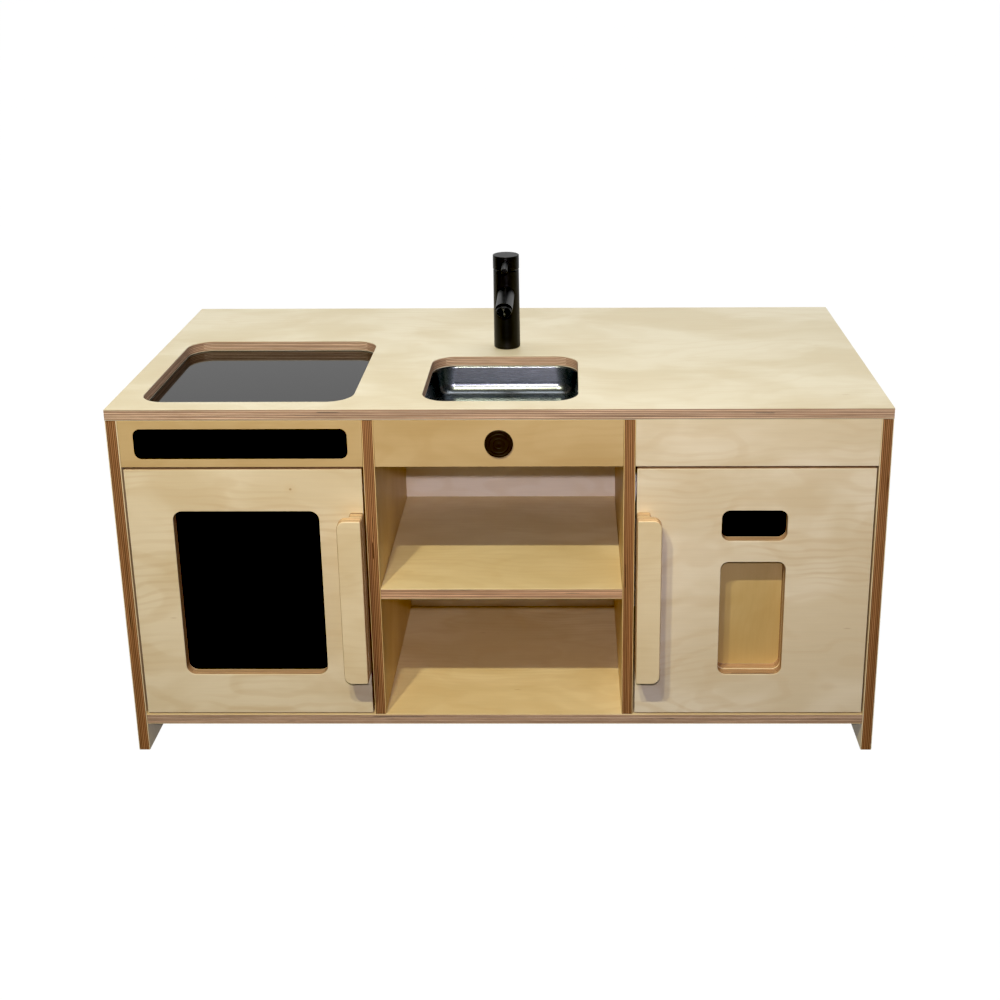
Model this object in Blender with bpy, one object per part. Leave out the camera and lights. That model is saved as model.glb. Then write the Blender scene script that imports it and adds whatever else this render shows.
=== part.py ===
"""Toy kitchen in birch plywood, with a hob, a sink with a mixer tap, an oven, a fridge and open shelves.

Metres, +Z up, +Y to the back. The origin is on the floor, at the middle of the width and of the
whole depth, handles included. Every board is cut from one thickness of plywood.
"""

import math

import bmesh
import bpy
from mathutils import Matrix, Vector

# Cabinet
WIDTH = 1.200
DEPTH = 0.600
HEIGHT = 0.590
PLY = 0.018
CENTRE_BAY = 0.382
FLOOR_GAP = 0.048
APRON_HEIGHT = 0.076
ARRIS = 0.0008
GAP = 0.0003

# Cut-outs in the worktop: their margins are to the boards round the bay below
HOB_OUTER_MARGIN = 0.023
HOB_INNER_MARGIN = 0.020
HOB_FRONT_MARGIN = 0.018
HOB_BACK_MARGIN = 0.008
HOB_RADIUS = 0.040
SINK_WIDTH = 0.2445
SINK_DEPTH = 0.241
SINK_RADIUS = 0.040
SINK_FRONT_MARGIN = 0.0195
TAP_BEHIND_SINK = 0.0585
BAY_BEHIND_TAP = 0.045
TAP_HOLE_RADIUS = 0.016

# Hob panel and control strip
ACRYLIC = 0.005
ACRYLIC_ARRIS = 0.0004
ACRYLIC_CORNER = 0.004
HOB_LAP = 0.006
STRIP_END_MARGIN = 0.022
STRIP_EDGE_MARGIN = 0.0130
STRIP_RADIUS = 0.012
STRIP_THICKNESS = 0.003

# Sink bowl
SHEET = 0.0012
BOWL_DEPTH = 0.046
BOWL_FILLET = 0.020
BOWL_DRAFT = 0.004
BOWL_LIP = 0.003
BOWL_FLANGE = 0.016
CLIP_WIDTH = 0.022
CLIP_REACH = 0.008
CLIP_FOOT = 0.012

# Tap
TAP_HEIGHT = 0.1635
TAP_BASE_RADIUS = 0.0228
TAP_TAPER = 0.0007
TAP_ARRIS = 0.0008
TAP_SEAL = 0.0012
CAP_OVERHANG = 0.0004
CAP_HEIGHT = 0.024
CAP_ARRIS = 0.0010
CAP_GROOVE = 0.0020
STEM_RADIUS = 0.0150
STEM_DEPTH = 0.018
LIFT_ANGLE = math.radians(12)
LIFT_CLEARANCE = math.radians(2)
SPOUT_RADIUS = 0.0143
SPOUT_REACH = 0.112
SPOUT_DROP = math.radians(3)
SPOUT_AXIS_BELOW_TOP = 0.0665
SPOUT_MITRE = math.radians(36)
AERATOR_SHOULDER = 0.0016
AERATOR_WALL = 0.0030
AERATOR_SPIGOT = 0.0085
AERATOR_HEIGHT = 0.0065
LEVER_RADIUS = 0.0051
LEVER_REACH = 0.052
LEVER_SOCKET = 0.008
LEVER_ARRIS = 0.0012
STUD_RADIUS = 0.004
STUD_LENGTH = 0.060
STUD_SOCKET = 0.020
GASKET_RADIUS = 0.021
GASKET_THICKNESS = 0.0025
WASHER_RADIUS = 0.020
WASHER_THICKNESS = 0.0020
NUT_RADIUS = 0.008
NUT_THICKNESS = 0.006

# Doors
DOOR_GAP = 0.003
DOOR_TOP_GAP = 0.004
WINDOW_MARGIN = 0.0695
WINDOW_RADIUS = 0.015
WINDOW_LAP = 0.020
SLOT_WIDTH = 0.102
SLOT_HEIGHT = 0.051
SLOT_RADIUS = 0.013
SLOT_TO_RECESS = 0.036
RECESS_BORDER = 0.030
RECESS_BACK_THICKNESS = 0.009

# Handles
GRIP_WIDTH = 0.0375
GRIP_END_MARGIN = 0.0715
GRIP_RADIUS = 0.013
GRIP_EDGE_RADIUS = 0.003
GRIP_ROUND_OVER = 0.002
SPACER_WIDTH = 0.021

# Hinges
CUP_RADIUS = 0.0175
CUP_DEPTH = 0.0115
CUP_TAB = 0.005
FLANGE_EAR = 0.0085
FLANGE_CORNER = 0.0072
FLANGE_WIDTH = 0.024
FLANGE_THICKNESS = 0.0012
HINGE_FROM_END = 0.080
ARM_HEIGHT = 0.012
ARM_LENGTH = 0.066
ARM_THICKNESS = 0.010
ARM_CLEARANCE = 0.0014
ARM_NECK = 0.010
ARM_CRANK = 0.016
ARM_SHOULDER = 0.003
MOUNT_PLATE_THICKNESS = 0.003
MOUNT_PLATE_HEIGHT = 0.046
MOUNT_PLATE_WIDTH = 0.012
MOUNT_PLATE_FROM_END = 0.018

# Catches
CATCH_HEIGHT = 0.022
CATCH_DEPTH = 0.014
CATCH_THICKNESS = 0.013
CATCH_DROP = 0.040
EAR_HEIGHT = 0.011
EAR_THICKNESS = 0.002
EAR_INSET = 0.003
STRIKE_LENGTH = 0.036
STRIKE_WIDTH = 0.012
STRIKE_THICKNESS = 0.0012
STRIKE_INSET = 0.002
STRIKE_CORNER = 0.003

# Brackets, and the screws that hold the handles
BRACKET_LEG = 0.016
BRACKET_THICKNESS = 0.0015
BRACKET_LENGTH = 0.028
BRACKET_FROM_END = 0.095
SCREW_HEAD_RADIUS = 0.003
SCREW_HEAD_HEIGHT = 0.0018
SCREW_RADIUS = 0.0014
HANDLE_SCREW_BITE = 0.010
HANDLE_SCREW_FROM_END = 0.040
HOLE_RADIUS = 0.0020

# Badge
BADGE_RADIUS = 0.0221
BADGE_THICKNESS = 0.0030
BADGE_RIM = 0.0030
BADGE_RING_OUTER = 0.0150
BADGE_RING_INNER = 0.0080
BADGE_RELIEF = 0.0007

# Facets: how finely curves are cut
CORNER_STEPS = 6
LIP_STEPS = 3
ROUND_STEPS = 32
THIN_STEPS = 16
SCREW_SIDES = 8
NUT_SIDES = 6
SMOOTH_ANGLE = math.radians(35)
PIVOT_DISPLAY_SIZE = 0.05

# Places that follow from the sizes above
FRONT = (2 * PLY - DEPTH) / 2
BACK = FRONT + DEPTH
UNDER_TOP = HEIGHT - PLY
SIDE_BAY = (WIDTH - 4 * PLY - CENTRE_BAY) / 2
BAY_CENTRE_X = (CENTRE_BAY + SIDE_BAY) / 2 + PLY
INNER_X = WIDTH / 2 - PLY
DIVIDER_X = CENTRE_BAY / 2
FLOOR_Z = FLOOR_GAP + PLY
APRON_Z = UNDER_TOP - APRON_HEIGHT
OPENING = (APRON_Z - FLOOR_Z - PLY) / 2
SHELF_Z = FLOOR_Z + OPENING
DOOR_WIDTH = SIDE_BAY - 2 * DOOR_GAP
DOOR_BOTTOM = FLOOR_Z + DOOR_GAP
DOOR_TOP = APRON_Z - DOOR_TOP_GAP
DOOR_MIDDLE = (DOOR_BOTTOM + DOOR_TOP) / 2
DOOR_BACK = FRONT + PLY
GRIP_HEIGHT = DOOR_TOP - DOOR_BOTTOM - 2 * GRIP_END_MARGIN
PIVOT_X = INNER_X - DOOR_GAP
CUP_INSET = CUP_RADIUS + CUP_TAB
SINK_FRONT = DOOR_BACK + SINK_FRONT_MARGIN
TAP_Y = SINK_FRONT + SINK_DEPTH + TAP_BEHIND_SINK
BAY_BACK = TAP_Y + BAY_BEHIND_TAP
TAP_TOP_RADIUS = TAP_BASE_RADIUS - TAP_TAPER
CAP_RADIUS = TAP_TOP_RADIUS + CAP_OVERHANG
TAP_TOP = HEIGHT + TAP_HEIGHT
CAP_BOTTOM = TAP_TOP - CAP_HEIGHT
BODY_TOP = CAP_BOTTOM - CAP_GROOVE
TAP_MOUTH = Vector((0, TAP_Y, 0))

HANDS = {-1: "left", 1: "right"}
Y_AXIS = Vector((0, 1, 0))
Z_AXIS = Vector((0, 0, 1))


def clear_scene():
    for obj in list(bpy.data.objects):
        bpy.data.objects.remove(obj)


def make_material(name, colour, roughness, metallic=0.0):
    material = bpy.data.materials.new(name)
    material.use_nodes = True
    shader = material.node_tree.nodes["Principled BSDF"]
    shader.inputs["Base Color"].default_value = (*colour, 1)
    shader.inputs["Roughness"].default_value = roughness
    shader.inputs["Metallic"].default_value = metallic
    return material


# Outlines. Each is a function of an offset into the material, which a broken edge uses.


def rounded_rectangle(low, high, radii, inwards=1):
    """Corner order: low-low, high-low, high-high, low-high. inwards is -1 for a hole."""
    corners = [(low[0], low[1]), (high[0], low[1]), (high[0], high[1]), (low[0], high[1])]
    towards = [(1, 1), (-1, 1), (-1, -1), (1, -1)]

    def points(offset):
        found = []
        for index, (corner, way, radius) in enumerate(zip(corners, towards, radii)):
            if radius == 0:
                step = offset * inwards
                found.append((corner[0] + way[0] * step, corner[1] + way[1] * step))
                continue
            centre = (corner[0] + way[0] * radius, corner[1] + way[1] * radius)
            reach = radius - offset * inwards
            for step in range(CORNER_STEPS + 1):
                angle = math.pi + (index + step / CORNER_STEPS) * math.pi / 2
                found.append((centre[0] + reach * math.cos(angle), centre[1] + reach * math.sin(angle)))
        return found

    return points


def rectangle(low, high):
    return rounded_rectangle(low, high, (0, 0, 0, 0))


def window(low, high, radius):
    return rounded_rectangle(low, high, (radius,) * 4, inwards=-1)


def circle(centre, radius, sides=ROUND_STEPS, inwards=1):
    def points(offset):
        reach = radius - offset * inwards
        turns = [2 * math.pi * (step + 0.5) / sides for step in range(sides)]
        return [(centre[0] + reach * math.cos(turn), centre[1] + reach * math.sin(turn)) for turn in turns]

    return points


# Solids, as bmeshes


def plate(outer, thickness, holes=(), arris=ARRIS, steps=1):
    """A flat board in local XY, from z = 0 to its thickness, with broken edges."""
    solid = bmesh.new()
    rings = []
    for step in range(steps + 1 if arris else 1):
        angle = math.pi / 2 * step / steps
        offset = arris * (1 - math.sin(angle))
        height = arris * (1 - math.cos(angle))
        rings.append((offset, height))
    levels = rings + [(offset, thickness - height) for offset, height in reversed(rings)]
    low_edges = []
    twin = {}
    for outline in (outer, *holes):
        loops = []
        for offset, height in levels:
            loops.append([solid.verts.new((x, y, height)) for x, y in outline(offset)])
        count = len(loops[0])
        for lower, upper in zip(loops, loops[1:]):
            for index in range(count):
                after = (index + 1) % count
                solid.faces.new((lower[index], lower[after], upper[after], upper[index]))
        for index in range(count):
            low_edges.append(solid.edges.get((loops[0][index], loops[0][(index + 1) % count])))
            twin[loops[0][index]] = loops[-1][index]
    filled = bmesh.ops.triangle_fill(solid, use_beauty=True, edges=low_edges)
    for face in [item for item in filled["geom"] if isinstance(item, bmesh.types.BMFace)]:
        solid.faces.new([twin[vertex] for vertex in reversed(face.verts)])
    return solid


def lathe(profile, sides=ROUND_STEPS):
    """Turns (radius, height) points, listed from the axis round to the axis, about Z."""
    solid = bmesh.new()
    rings = []
    for radius, height in profile:
        if radius == 0:
            rings.append([solid.verts.new((0, 0, height))] * sides)
            continue
        turns = [2 * math.pi * (step + 0.5) / sides for step in range(sides)]
        rings.append([solid.verts.new((radius * math.cos(t), radius * math.sin(t), height)) for t in turns])
    for lower, upper in zip(rings, rings[1:]):
        for index in range(sides):
            after = (index + 1) % sides
            corners = [lower[index], lower[after], upper[after], upper[index]]
            distinct = list(dict.fromkeys(corners))
            if len(distinct) > 2:
                solid.faces.new(distinct)
    return solid


def cylinder(radius, low, high, sides=ROUND_STEPS):
    return lathe([(0, low), (radius, low), (radius, high), (0, high)], sides)


def prism(points, low, high):
    """A solid with a polygon cross-section in local XY."""
    solid = plate(lambda offset: points, high - low, arris=0)
    return moved(solid, Matrix.Translation((0, 0, low)))


def block(low, high):
    solid = plate(rectangle(low[:2], high[:2]), high[2] - low[2], arris=0)
    return moved(solid, Matrix.Translation((0, 0, low[2])))


def moved(solid, matrix):
    bmesh.ops.transform(solid, matrix=matrix, verts=solid.verts)
    return solid


def standing(solid, y):
    """Turns a plate drawn in X and Z upright, with its outer face at y and its thickness to the back."""
    upright = Matrix(((1, 0, 0, 0), (0, 0, 1, y), (0, 1, 0, 0), (0, 0, 0, 1)))
    return moved(solid, upright)


def aimed(solid, place, direction):
    """Puts a turned piece's Z axis along a direction, with its origin at a place."""
    turn = Z_AXIS.rotation_difference(Vector(direction).normalized()).to_matrix().to_4x4()
    return moved(solid, Matrix.Translation(place) @ turn)


# Objects


def add_object(name, solid, material=None, parent=None, origin=None, smooth=False):
    if origin is None:
        low = Vector([min(vertex.co[axis] for vertex in solid.verts) for axis in range(3)])
        high = Vector([max(vertex.co[axis] for vertex in solid.verts) for axis in range(3)])
        origin = (low + high) / 2
    moved(solid, Matrix.Translation(-Vector(origin)))
    bmesh.ops.recalc_face_normals(solid, faces=solid.faces)
    mesh = bpy.data.meshes.new(name)
    solid.to_mesh(mesh)
    solid.free()
    obj = bpy.data.objects.new(name, mesh)
    bpy.context.scene.collection.objects.link(obj)
    obj.location = origin
    if parent is not None:
        obj.parent = parent
        obj.location = Vector(origin) - parent.location
    if material is not None:
        mesh.materials.append(material)
    if smooth:
        mesh.shade_smooth()
        mesh.set_sharp_from_angle(angle=SMOOTH_ANGLE)
    return obj


def cut(target, name, solid, operation="DIFFERENCE"):
    """Cuts a solid out of an object, or unites it, by a Boolean with a hidden cutter."""
    place = target.parent.location + target.location if target.parent else target.location.copy()
    tool = add_object(name, solid, parent=target.parent, origin=place)
    tool.hide_render = True
    tool.display_type = "WIRE"
    boolean = target.modifiers.new(name, "BOOLEAN")
    boolean.operation = operation
    boolean.object = tool
    return tool


def add_pivot(name, place):
    pivot = bpy.data.objects.new(name, None)
    pivot.empty_display_size = PIVOT_DISPLAY_SIZE
    pivot.location = place
    bpy.context.scene.collection.objects.link(pivot)
    return pivot


def screw(place, direction, length):
    """A pan-head screw. place is under its head."""
    profile = [
        (0, -length),
        (SCREW_RADIUS, -length + SCREW_RADIUS),
        (SCREW_RADIUS, GAP),
        (SCREW_HEAD_RADIUS, GAP),
        (SCREW_HEAD_RADIUS, GAP + SCREW_HEAD_HEIGHT / 2),
        (SCREW_HEAD_RADIUS / 2, GAP + SCREW_HEAD_HEIGHT),
        (0, GAP + SCREW_HEAD_HEIGHT),
    ]
    return aimed(lathe(profile, SCREW_SIDES), place, -Vector(direction))


def screw_hole(place, direction, length):
    """The cutter for a screw's hole."""
    return aimed(cylinder(HOLE_RADIUS, -length - SCREW_RADIUS, PLY, SCREW_SIDES), place, -Vector(direction))


# Materials
clear_scene()
BIRCH = make_material("birch_ply", (0.80, 0.66, 0.44), 0.45)
ACRYLIC_BLACK = make_material("black_acrylic", (0.005, 0.005, 0.006), 0.06)
STAINLESS = make_material("stainless_steel", (0.52, 0.54, 0.56), 0.25, 1.0)
BLACK_COAT = make_material("black_coating", (0.012, 0.012, 0.013), 0.42)
STEEL = make_material("plated_steel", (0.62, 0.62, 0.60), 0.32, 1.0)
RUBBER = make_material("black_rubber", (0.02, 0.02, 0.02), 0.75)
LEATHER = make_material("brown_leather", (0.045, 0.022, 0.015), 0.6)
PLASTIC = make_material("white_plastic", (0.75, 0.74, 0.70), 0.5)


# Cabinet


def side_panel(name, side):
    """Full depth and down to the floor; side is -1 for the left and 1 for the right."""
    inner = side * (WIDTH / 2 - PLY)
    solid = plate(rectangle((FRONT, 0), (BACK, UNDER_TOP - GAP)), PLY)
    upright = Matrix(((0, 0, 1, min(inner, side * WIDTH / 2)), (1, 0, 0, 0), (0, 1, 0, 0), (0, 0, 0, 1)))
    return add_object(name, moved(solid, upright), BIRCH)


def divider(name, side):
    low_x = min(side * DIVIDER_X, side * (DIVIDER_X + PLY))
    solid = plate(rectangle((FRONT, FLOOR_Z + GAP), (BAY_BACK - GAP, UNDER_TOP - GAP)), PLY)
    upright = Matrix(((0, 0, 1, low_x), (1, 0, 0, 0), (0, 1, 0, 0), (0, 0, 0, 1)))
    return add_object(name, moved(solid, upright), BIRCH)


def flat_board(name, low, high, base):
    solid = plate(rectangle(low, high), PLY)
    return add_object(name, moved(solid, Matrix.Translation((0, 0, base))), BIRCH)


def back_panel():
    reach = INNER_X - GAP
    solid = plate(rectangle((-reach, FLOOR_Z + GAP), (reach, UNDER_TOP - GAP)), PLY)
    return add_object("back_panel", standing(solid, BAY_BACK), BIRCH)


def apron(name, centre, width):
    low = (centre - width / 2 + GAP, APRON_Z)
    high = (centre + width / 2 - GAP, UNDER_TOP - GAP)
    return add_object(name, standing(plate(rectangle(low, high), PLY), FRONT), BIRCH)


def hob_bounds(lap=0.0):
    low = (-INNER_X + HOB_OUTER_MARGIN - lap, DOOR_BACK + HOB_FRONT_MARGIN - lap)
    return low, (-DIVIDER_X - PLY - HOB_INNER_MARGIN + lap, BAY_BACK - HOB_BACK_MARGIN + lap)


def sink_bounds(grow=0.0):
    low = (-SINK_WIDTH / 2 - grow, SINK_FRONT - grow)
    return low, (SINK_WIDTH / 2 + grow, SINK_FRONT + SINK_DEPTH + grow)


def worktop():
    holes = [
        window(*hob_bounds(), HOB_RADIUS),
        window(*sink_bounds(), SINK_RADIUS),
        circle((0, TAP_Y), TAP_HOLE_RADIUS, inwards=-1),
    ]
    outer = rectangle((-WIDTH / 2, FRONT), (WIDTH / 2, BACK))
    solid = moved(plate(outer, PLY, holes), Matrix.Translation((0, 0, UNDER_TOP)))
    return add_object("worktop", solid, BIRCH)


def carcass():
    worktop()
    for side, hand in HANDS.items():
        side_panel(f"{hand}_side_panel", side)
        divider(f"{hand}_divider", side)
    flat_board("bottom_panel", (-INNER_X + GAP, FRONT), (INNER_X - GAP, BACK), FLOOR_GAP)
    flat_board("centre_shelf", (-DIVIDER_X + GAP, FRONT), (DIVIDER_X - GAP, BAY_BACK - GAP), SHELF_Z)
    back_panel()
    apron("centre_apron", 0, CENTRE_BAY)
    apron("right_apron", BAY_CENTRE_X, SIDE_BAY)
    control_strip(apron("left_apron", -BAY_CENTRE_X, SIDE_BAY))


def worktop_brackets():
    """Steel angles that hold the worktop to the side panels."""
    leg = BRACKET_LEG
    thin = BRACKET_THICKNESS
    section = [(0, 0), (leg, 0), (leg, -thin), (thin, -thin), (thin, -leg), (0, -leg)]
    for side, hand in HANDS.items():
        for y, end in ((FRONT + BRACKET_FROM_END, "front"), (BAY_BACK - BRACKET_FROM_END, "rear")):
            x = side * (INNER_X - GAP)
            frame = Matrix(((-side, 0, 0, x), (0, 0, 1, y), (0, 1, 0, UNDER_TOP - GAP), (0, 0, 0, 1)))
            angle = moved(prism(section, -BRACKET_LENGTH / 2, BRACKET_LENGTH / 2), frame)
            add_object(f"worktop_bracket_{hand}_{end}", angle, STEEL)


def hob_panel():
    low, high = hob_bounds(HOB_LAP)
    top = UNDER_TOP - GAP
    solid = plate(rounded_rectangle(low, high, (HOB_LAP,) * 4), ACRYLIC, arris=ACRYLIC_ARRIS)
    add_object("hob_panel", moved(solid, Matrix.Translation((0, 0, top - ACRYLIC))), ACRYLIC_BLACK)


def control_strip(board):
    """An acrylic strip let into the face of the board above the oven."""
    low = (-INNER_X + STRIP_END_MARGIN, APRON_Z + STRIP_EDGE_MARGIN)
    high = (-DIVIDER_X - PLY - STRIP_END_MARGIN, UNDER_TOP - STRIP_EDGE_MARGIN)
    inner_low = (low[0] + GAP, low[1] + GAP)
    inner_high = (high[0] - GAP, high[1] - GAP)
    pocket = plate(rounded_rectangle(low, high, (STRIP_RADIUS,) * 4), PLY, arris=0)
    cut(board, "control_strip_pocket", standing(pocket, FRONT + STRIP_THICKNESS + GAP - PLY))
    strip = plate(rounded_rectangle(inner_low, inner_high, (STRIP_RADIUS - GAP,) * 4), STRIP_THICKNESS,
                  arris=ACRYLIC_ARRIS)
    add_object("control_strip", standing(strip, FRONT), ACRYLIC_BLACK)


def badge():
    """A pressed disc with a raised rim and a raised ring."""
    top = BADGE_THICKNESS
    step = BADGE_RELIEF
    radius = BADGE_RADIUS
    inside = radius - BADGE_RIM
    profile = [
        (0, 0), (radius, 0), (radius, top - step), (radius - step, top),
        (inside, top), (inside - step, top - step),
        (BADGE_RING_OUTER + step, top - step), (BADGE_RING_OUTER, top),
        (BADGE_RING_INNER, top), (BADGE_RING_INNER - step, top - step), (0, top - step),
    ]
    place = (0, FRONT - GAP, (APRON_Z + UNDER_TOP) / 2)
    add_object("badge", aimed(lathe(profile), place, -Y_AXIS), LEATHER, smooth=True)


# Sink


def bowl_ring(solid, grow, radius, height):
    low, high = sink_bounds(grow)
    outline = rounded_rectangle(low, high, (radius,) * 4)
    return [solid.verts.new((x, y, height)) for x, y in outline(0)]


def bowl_profile(skin):
    """Grow, corner radius and height of each ring, from the floor out to the flange, on one skin.

    skin is 0 for the inner skin and the sheet's thickness for the outer one.
    """
    top = UNDER_TOP - GAP
    floor = top - BOWL_DEPTH
    fillet = BOWL_FILLET + skin
    corner = SINK_RADIUS - BOWL_DRAFT
    rings = []
    for step in range(CORNER_STEPS + 1):
        angle = math.pi / 2 * step / CORNER_STEPS
        grow = -BOWL_DRAFT - BOWL_FILLET + fillet * math.sin(angle)
        rings.append((grow, corner + grow, floor + BOWL_FILLET - fillet * math.cos(angle)))
    lip = BOWL_LIP - skin
    for step in range(LIP_STEPS + 1):
        angle = math.pi / 2 * step / LIP_STEPS
        grow = BOWL_LIP - lip * math.cos(angle)
        rings.append((grow, SINK_RADIUS + grow, top - BOWL_LIP + lip * math.sin(angle)))
    rings.append((BOWL_FLANGE, SINK_RADIUS + BOWL_FLANGE, top - skin))
    return rings


def sink_bowl():
    solid = bmesh.new()
    rings = [bowl_ring(solid, *ring) for ring in bowl_profile(0)]
    rings += [bowl_ring(solid, *ring) for ring in reversed(bowl_profile(SHEET))]
    for lower, upper in zip(rings, rings[1:]):
        for index in range(len(lower)):
            after = (index + 1) % len(lower)
            solid.faces.new((lower[index], lower[after], upper[after], upper[index]))
    solid.faces.new(reversed(rings[0]))
    solid.faces.new(rings[-1])
    add_object("sink_bowl", solid, STAINLESS, smooth=True)


def sink_clips():
    """Stepped clips that press the bowl's flange up against the worktop."""
    top = UNDER_TOP - GAP
    low, high = sink_bounds(BOWL_FLANGE)
    middle = (low[1] + high[1]) / 2
    thick = SHEET
    drop = SHEET + GAP
    foot = CLIP_FOOT
    section = [(-CLIP_REACH, -drop), (GAP, -drop), (GAP, 0), (foot, 0), (foot, -thick),
               (GAP + thick, -thick), (GAP + thick, -drop - thick), (-CLIP_REACH, -drop - thick)]
    for side, hand in HANDS.items():
        for way, end in ((-1, "front"), (1, "rear")):
            x = side * (high[0] + GAP)
            y = middle + way * SINK_DEPTH / 4
            frame = Matrix(((side, 0, 0, x), (0, 0, 1, y), (0, 1, 0, top), (0, 0, 0, 1)))
            clip = moved(prism(section, -CLIP_WIDTH / 2, CLIP_WIDTH / 2), frame)
            add_object(f"sink_clip_{hand}_{end}", clip, STEEL)


# Tap


def tap_body():
    low = HEIGHT + GAP + TAP_SEAL
    edge = TAP_ARRIS
    base = TAP_BASE_RADIUS
    top = TAP_TOP_RADIUS
    profile = [(0, low), (base - edge, low), (base, low + edge), (top, BODY_TOP - edge),
               (top - edge, BODY_TOP), (0, BODY_TOP)]
    body = add_object("tap_body", moved(lathe(profile), Matrix.Translation(TAP_MOUTH)), BLACK_COAT,
                      smooth=True)
    socket = cylinder(STUD_RADIUS + GAP, HEIGHT - PLY, low + STUD_SOCKET, THIN_STEPS)
    cut(body, "tap_stud_socket", moved(socket, Matrix.Translation(TAP_MOUTH)))
    bore = cylinder(STEM_RADIUS + GAP, BODY_TOP - STEM_DEPTH - GAP, TAP_TOP)
    cut(body, "tap_stem_bore", moved(bore, Matrix.Translation(TAP_MOUTH)))
    seal = circle((0, TAP_Y), base - 2 * edge)
    inner = circle((0, TAP_Y), TAP_HOLE_RADIUS, inwards=-1)
    ring = moved(plate(seal, TAP_SEAL - GAP, [inner], arris=0), Matrix.Translation((0, 0, HEIGHT + GAP)))
    add_object("tap_base_seal", ring, RUBBER)


def spout_direction():
    return Vector((0, -math.cos(SPOUT_DROP), -math.sin(SPOUT_DROP)))


def tap_spout():
    """A straight tube out of the body, cut off at a slant, with the aerator on the slanted face."""
    start = Vector((0, TAP_Y, TAP_TOP - SPOUT_AXIS_BELOW_TOP + TAP_TOP_RADIUS * math.sin(SPOUT_DROP)))
    along = spout_direction()
    middle = start + along * (SPOUT_REACH - SPOUT_RADIUS * math.tan(SPOUT_MITRE))
    out_of_face = Vector((0, -math.cos(SPOUT_MITRE), -math.sin(SPOUT_MITRE)))
    tube = add_object("tap_spout", aimed(cylinder(SPOUT_RADIUS, 0, SPOUT_REACH + SPOUT_RADIUS), start, along),
                      BLACK_COAT, smooth=True)
    low = HEIGHT + GAP
    core = lathe([(0, low), (TAP_BASE_RADIUS + GAP, low), (TAP_TOP_RADIUS + GAP, BODY_TOP),
                  (0, BODY_TOP)])
    cut(tube, "spout_root_cut", moved(core, Matrix.Translation(TAP_MOUTH)))
    reach = SPOUT_REACH
    end_cut = block((-reach, -reach, 0), (reach, reach, reach))
    cut(tube, "spout_end_cut", aimed(end_cut, middle, out_of_face))
    bore = cylinder(AERATOR_SPIGOT + GAP, -AERATOR_SPIGOT, AERATOR_HEIGHT)
    cut(tube, "spout_bore", aimed(bore, middle, out_of_face))
    edge = TAP_ARRIS
    outer = SPOUT_RADIUS - AERATOR_SHOULDER
    inner = outer - AERATOR_WALL
    profile = [
        (0, GAP - AERATOR_SPIGOT), (AERATOR_SPIGOT, GAP - AERATOR_SPIGOT), (AERATOR_SPIGOT, GAP),
        (outer, GAP), (outer, AERATOR_HEIGHT - edge), (outer - edge, AERATOR_HEIGHT),
        (inner, AERATOR_HEIGHT), (inner, AERATOR_HEIGHT - 2 * edge), (0, AERATOR_HEIGHT - 2 * edge),
    ]
    add_object("tap_aerator", aimed(lathe(profile), middle, out_of_face), BLACK_COAT, smooth=True)


def tap_handle():
    """The cap turns on the stem and lifts about a line across its underside, which slopes up behind it."""
    turn = add_pivot("tap_turn_axis", (0, TAP_Y, BODY_TOP))
    stem = cylinder(STEM_RADIUS, BODY_TOP - STEM_DEPTH, CAP_BOTTOM - GAP)
    add_object("tap_stem", moved(stem, Matrix.Translation(TAP_MOUTH)), STEEL, turn, smooth=True)
    lift = add_pivot("tap_lift_axis", (0, TAP_Y, CAP_BOTTOM))
    edge = CAP_ARRIS
    profile = [(0, CAP_BOTTOM), (CAP_RADIUS - edge, CAP_BOTTOM), (CAP_RADIUS, CAP_BOTTOM + edge),
               (CAP_RADIUS, TAP_TOP - edge), (CAP_RADIUS - edge, TAP_TOP), (0, TAP_TOP)]
    cap = add_object("tap_cap", moved(lathe(profile), Matrix.Translation(TAP_MOUTH)), BLACK_COAT, lift,
                     smooth=True)
    slope = LIFT_ANGLE + LIFT_CLEARANCE
    far = 2 * CAP_RADIUS
    wedge = [(0, -far), (far, -far), (far, far * math.tan(slope)), (0, 0)]
    frame = Matrix(((0, 0, 1, 0), (1, 0, 0, TAP_Y), (0, 1, 0, CAP_BOTTOM), (0, 0, 0, 1)))
    cut(cap, "cap_relief", moved(prism(wedge, -far, far), frame))
    lever_z = (CAP_BOTTOM + TAP_TOP) / 2
    socket_end = TAP_Y - CAP_RADIUS + LEVER_SOCKET
    bore = cylinder(LEVER_RADIUS + GAP, 0, CAP_RADIUS)
    cut(cap, "lever_socket", aimed(bore, (0, socket_end, lever_z), -Y_AXIS))
    length = LEVER_SOCKET + LEVER_REACH
    edge = LEVER_ARRIS
    pin = lathe([(0, GAP), (LEVER_RADIUS, GAP), (LEVER_RADIUS, length - edge),
                 (LEVER_RADIUS - edge, length), (0, length)], THIN_STEPS)
    add_object("tap_lever", aimed(pin, (0, socket_end, lever_z), -Y_AXIS), BLACK_COAT, lift, smooth=True)


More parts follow.
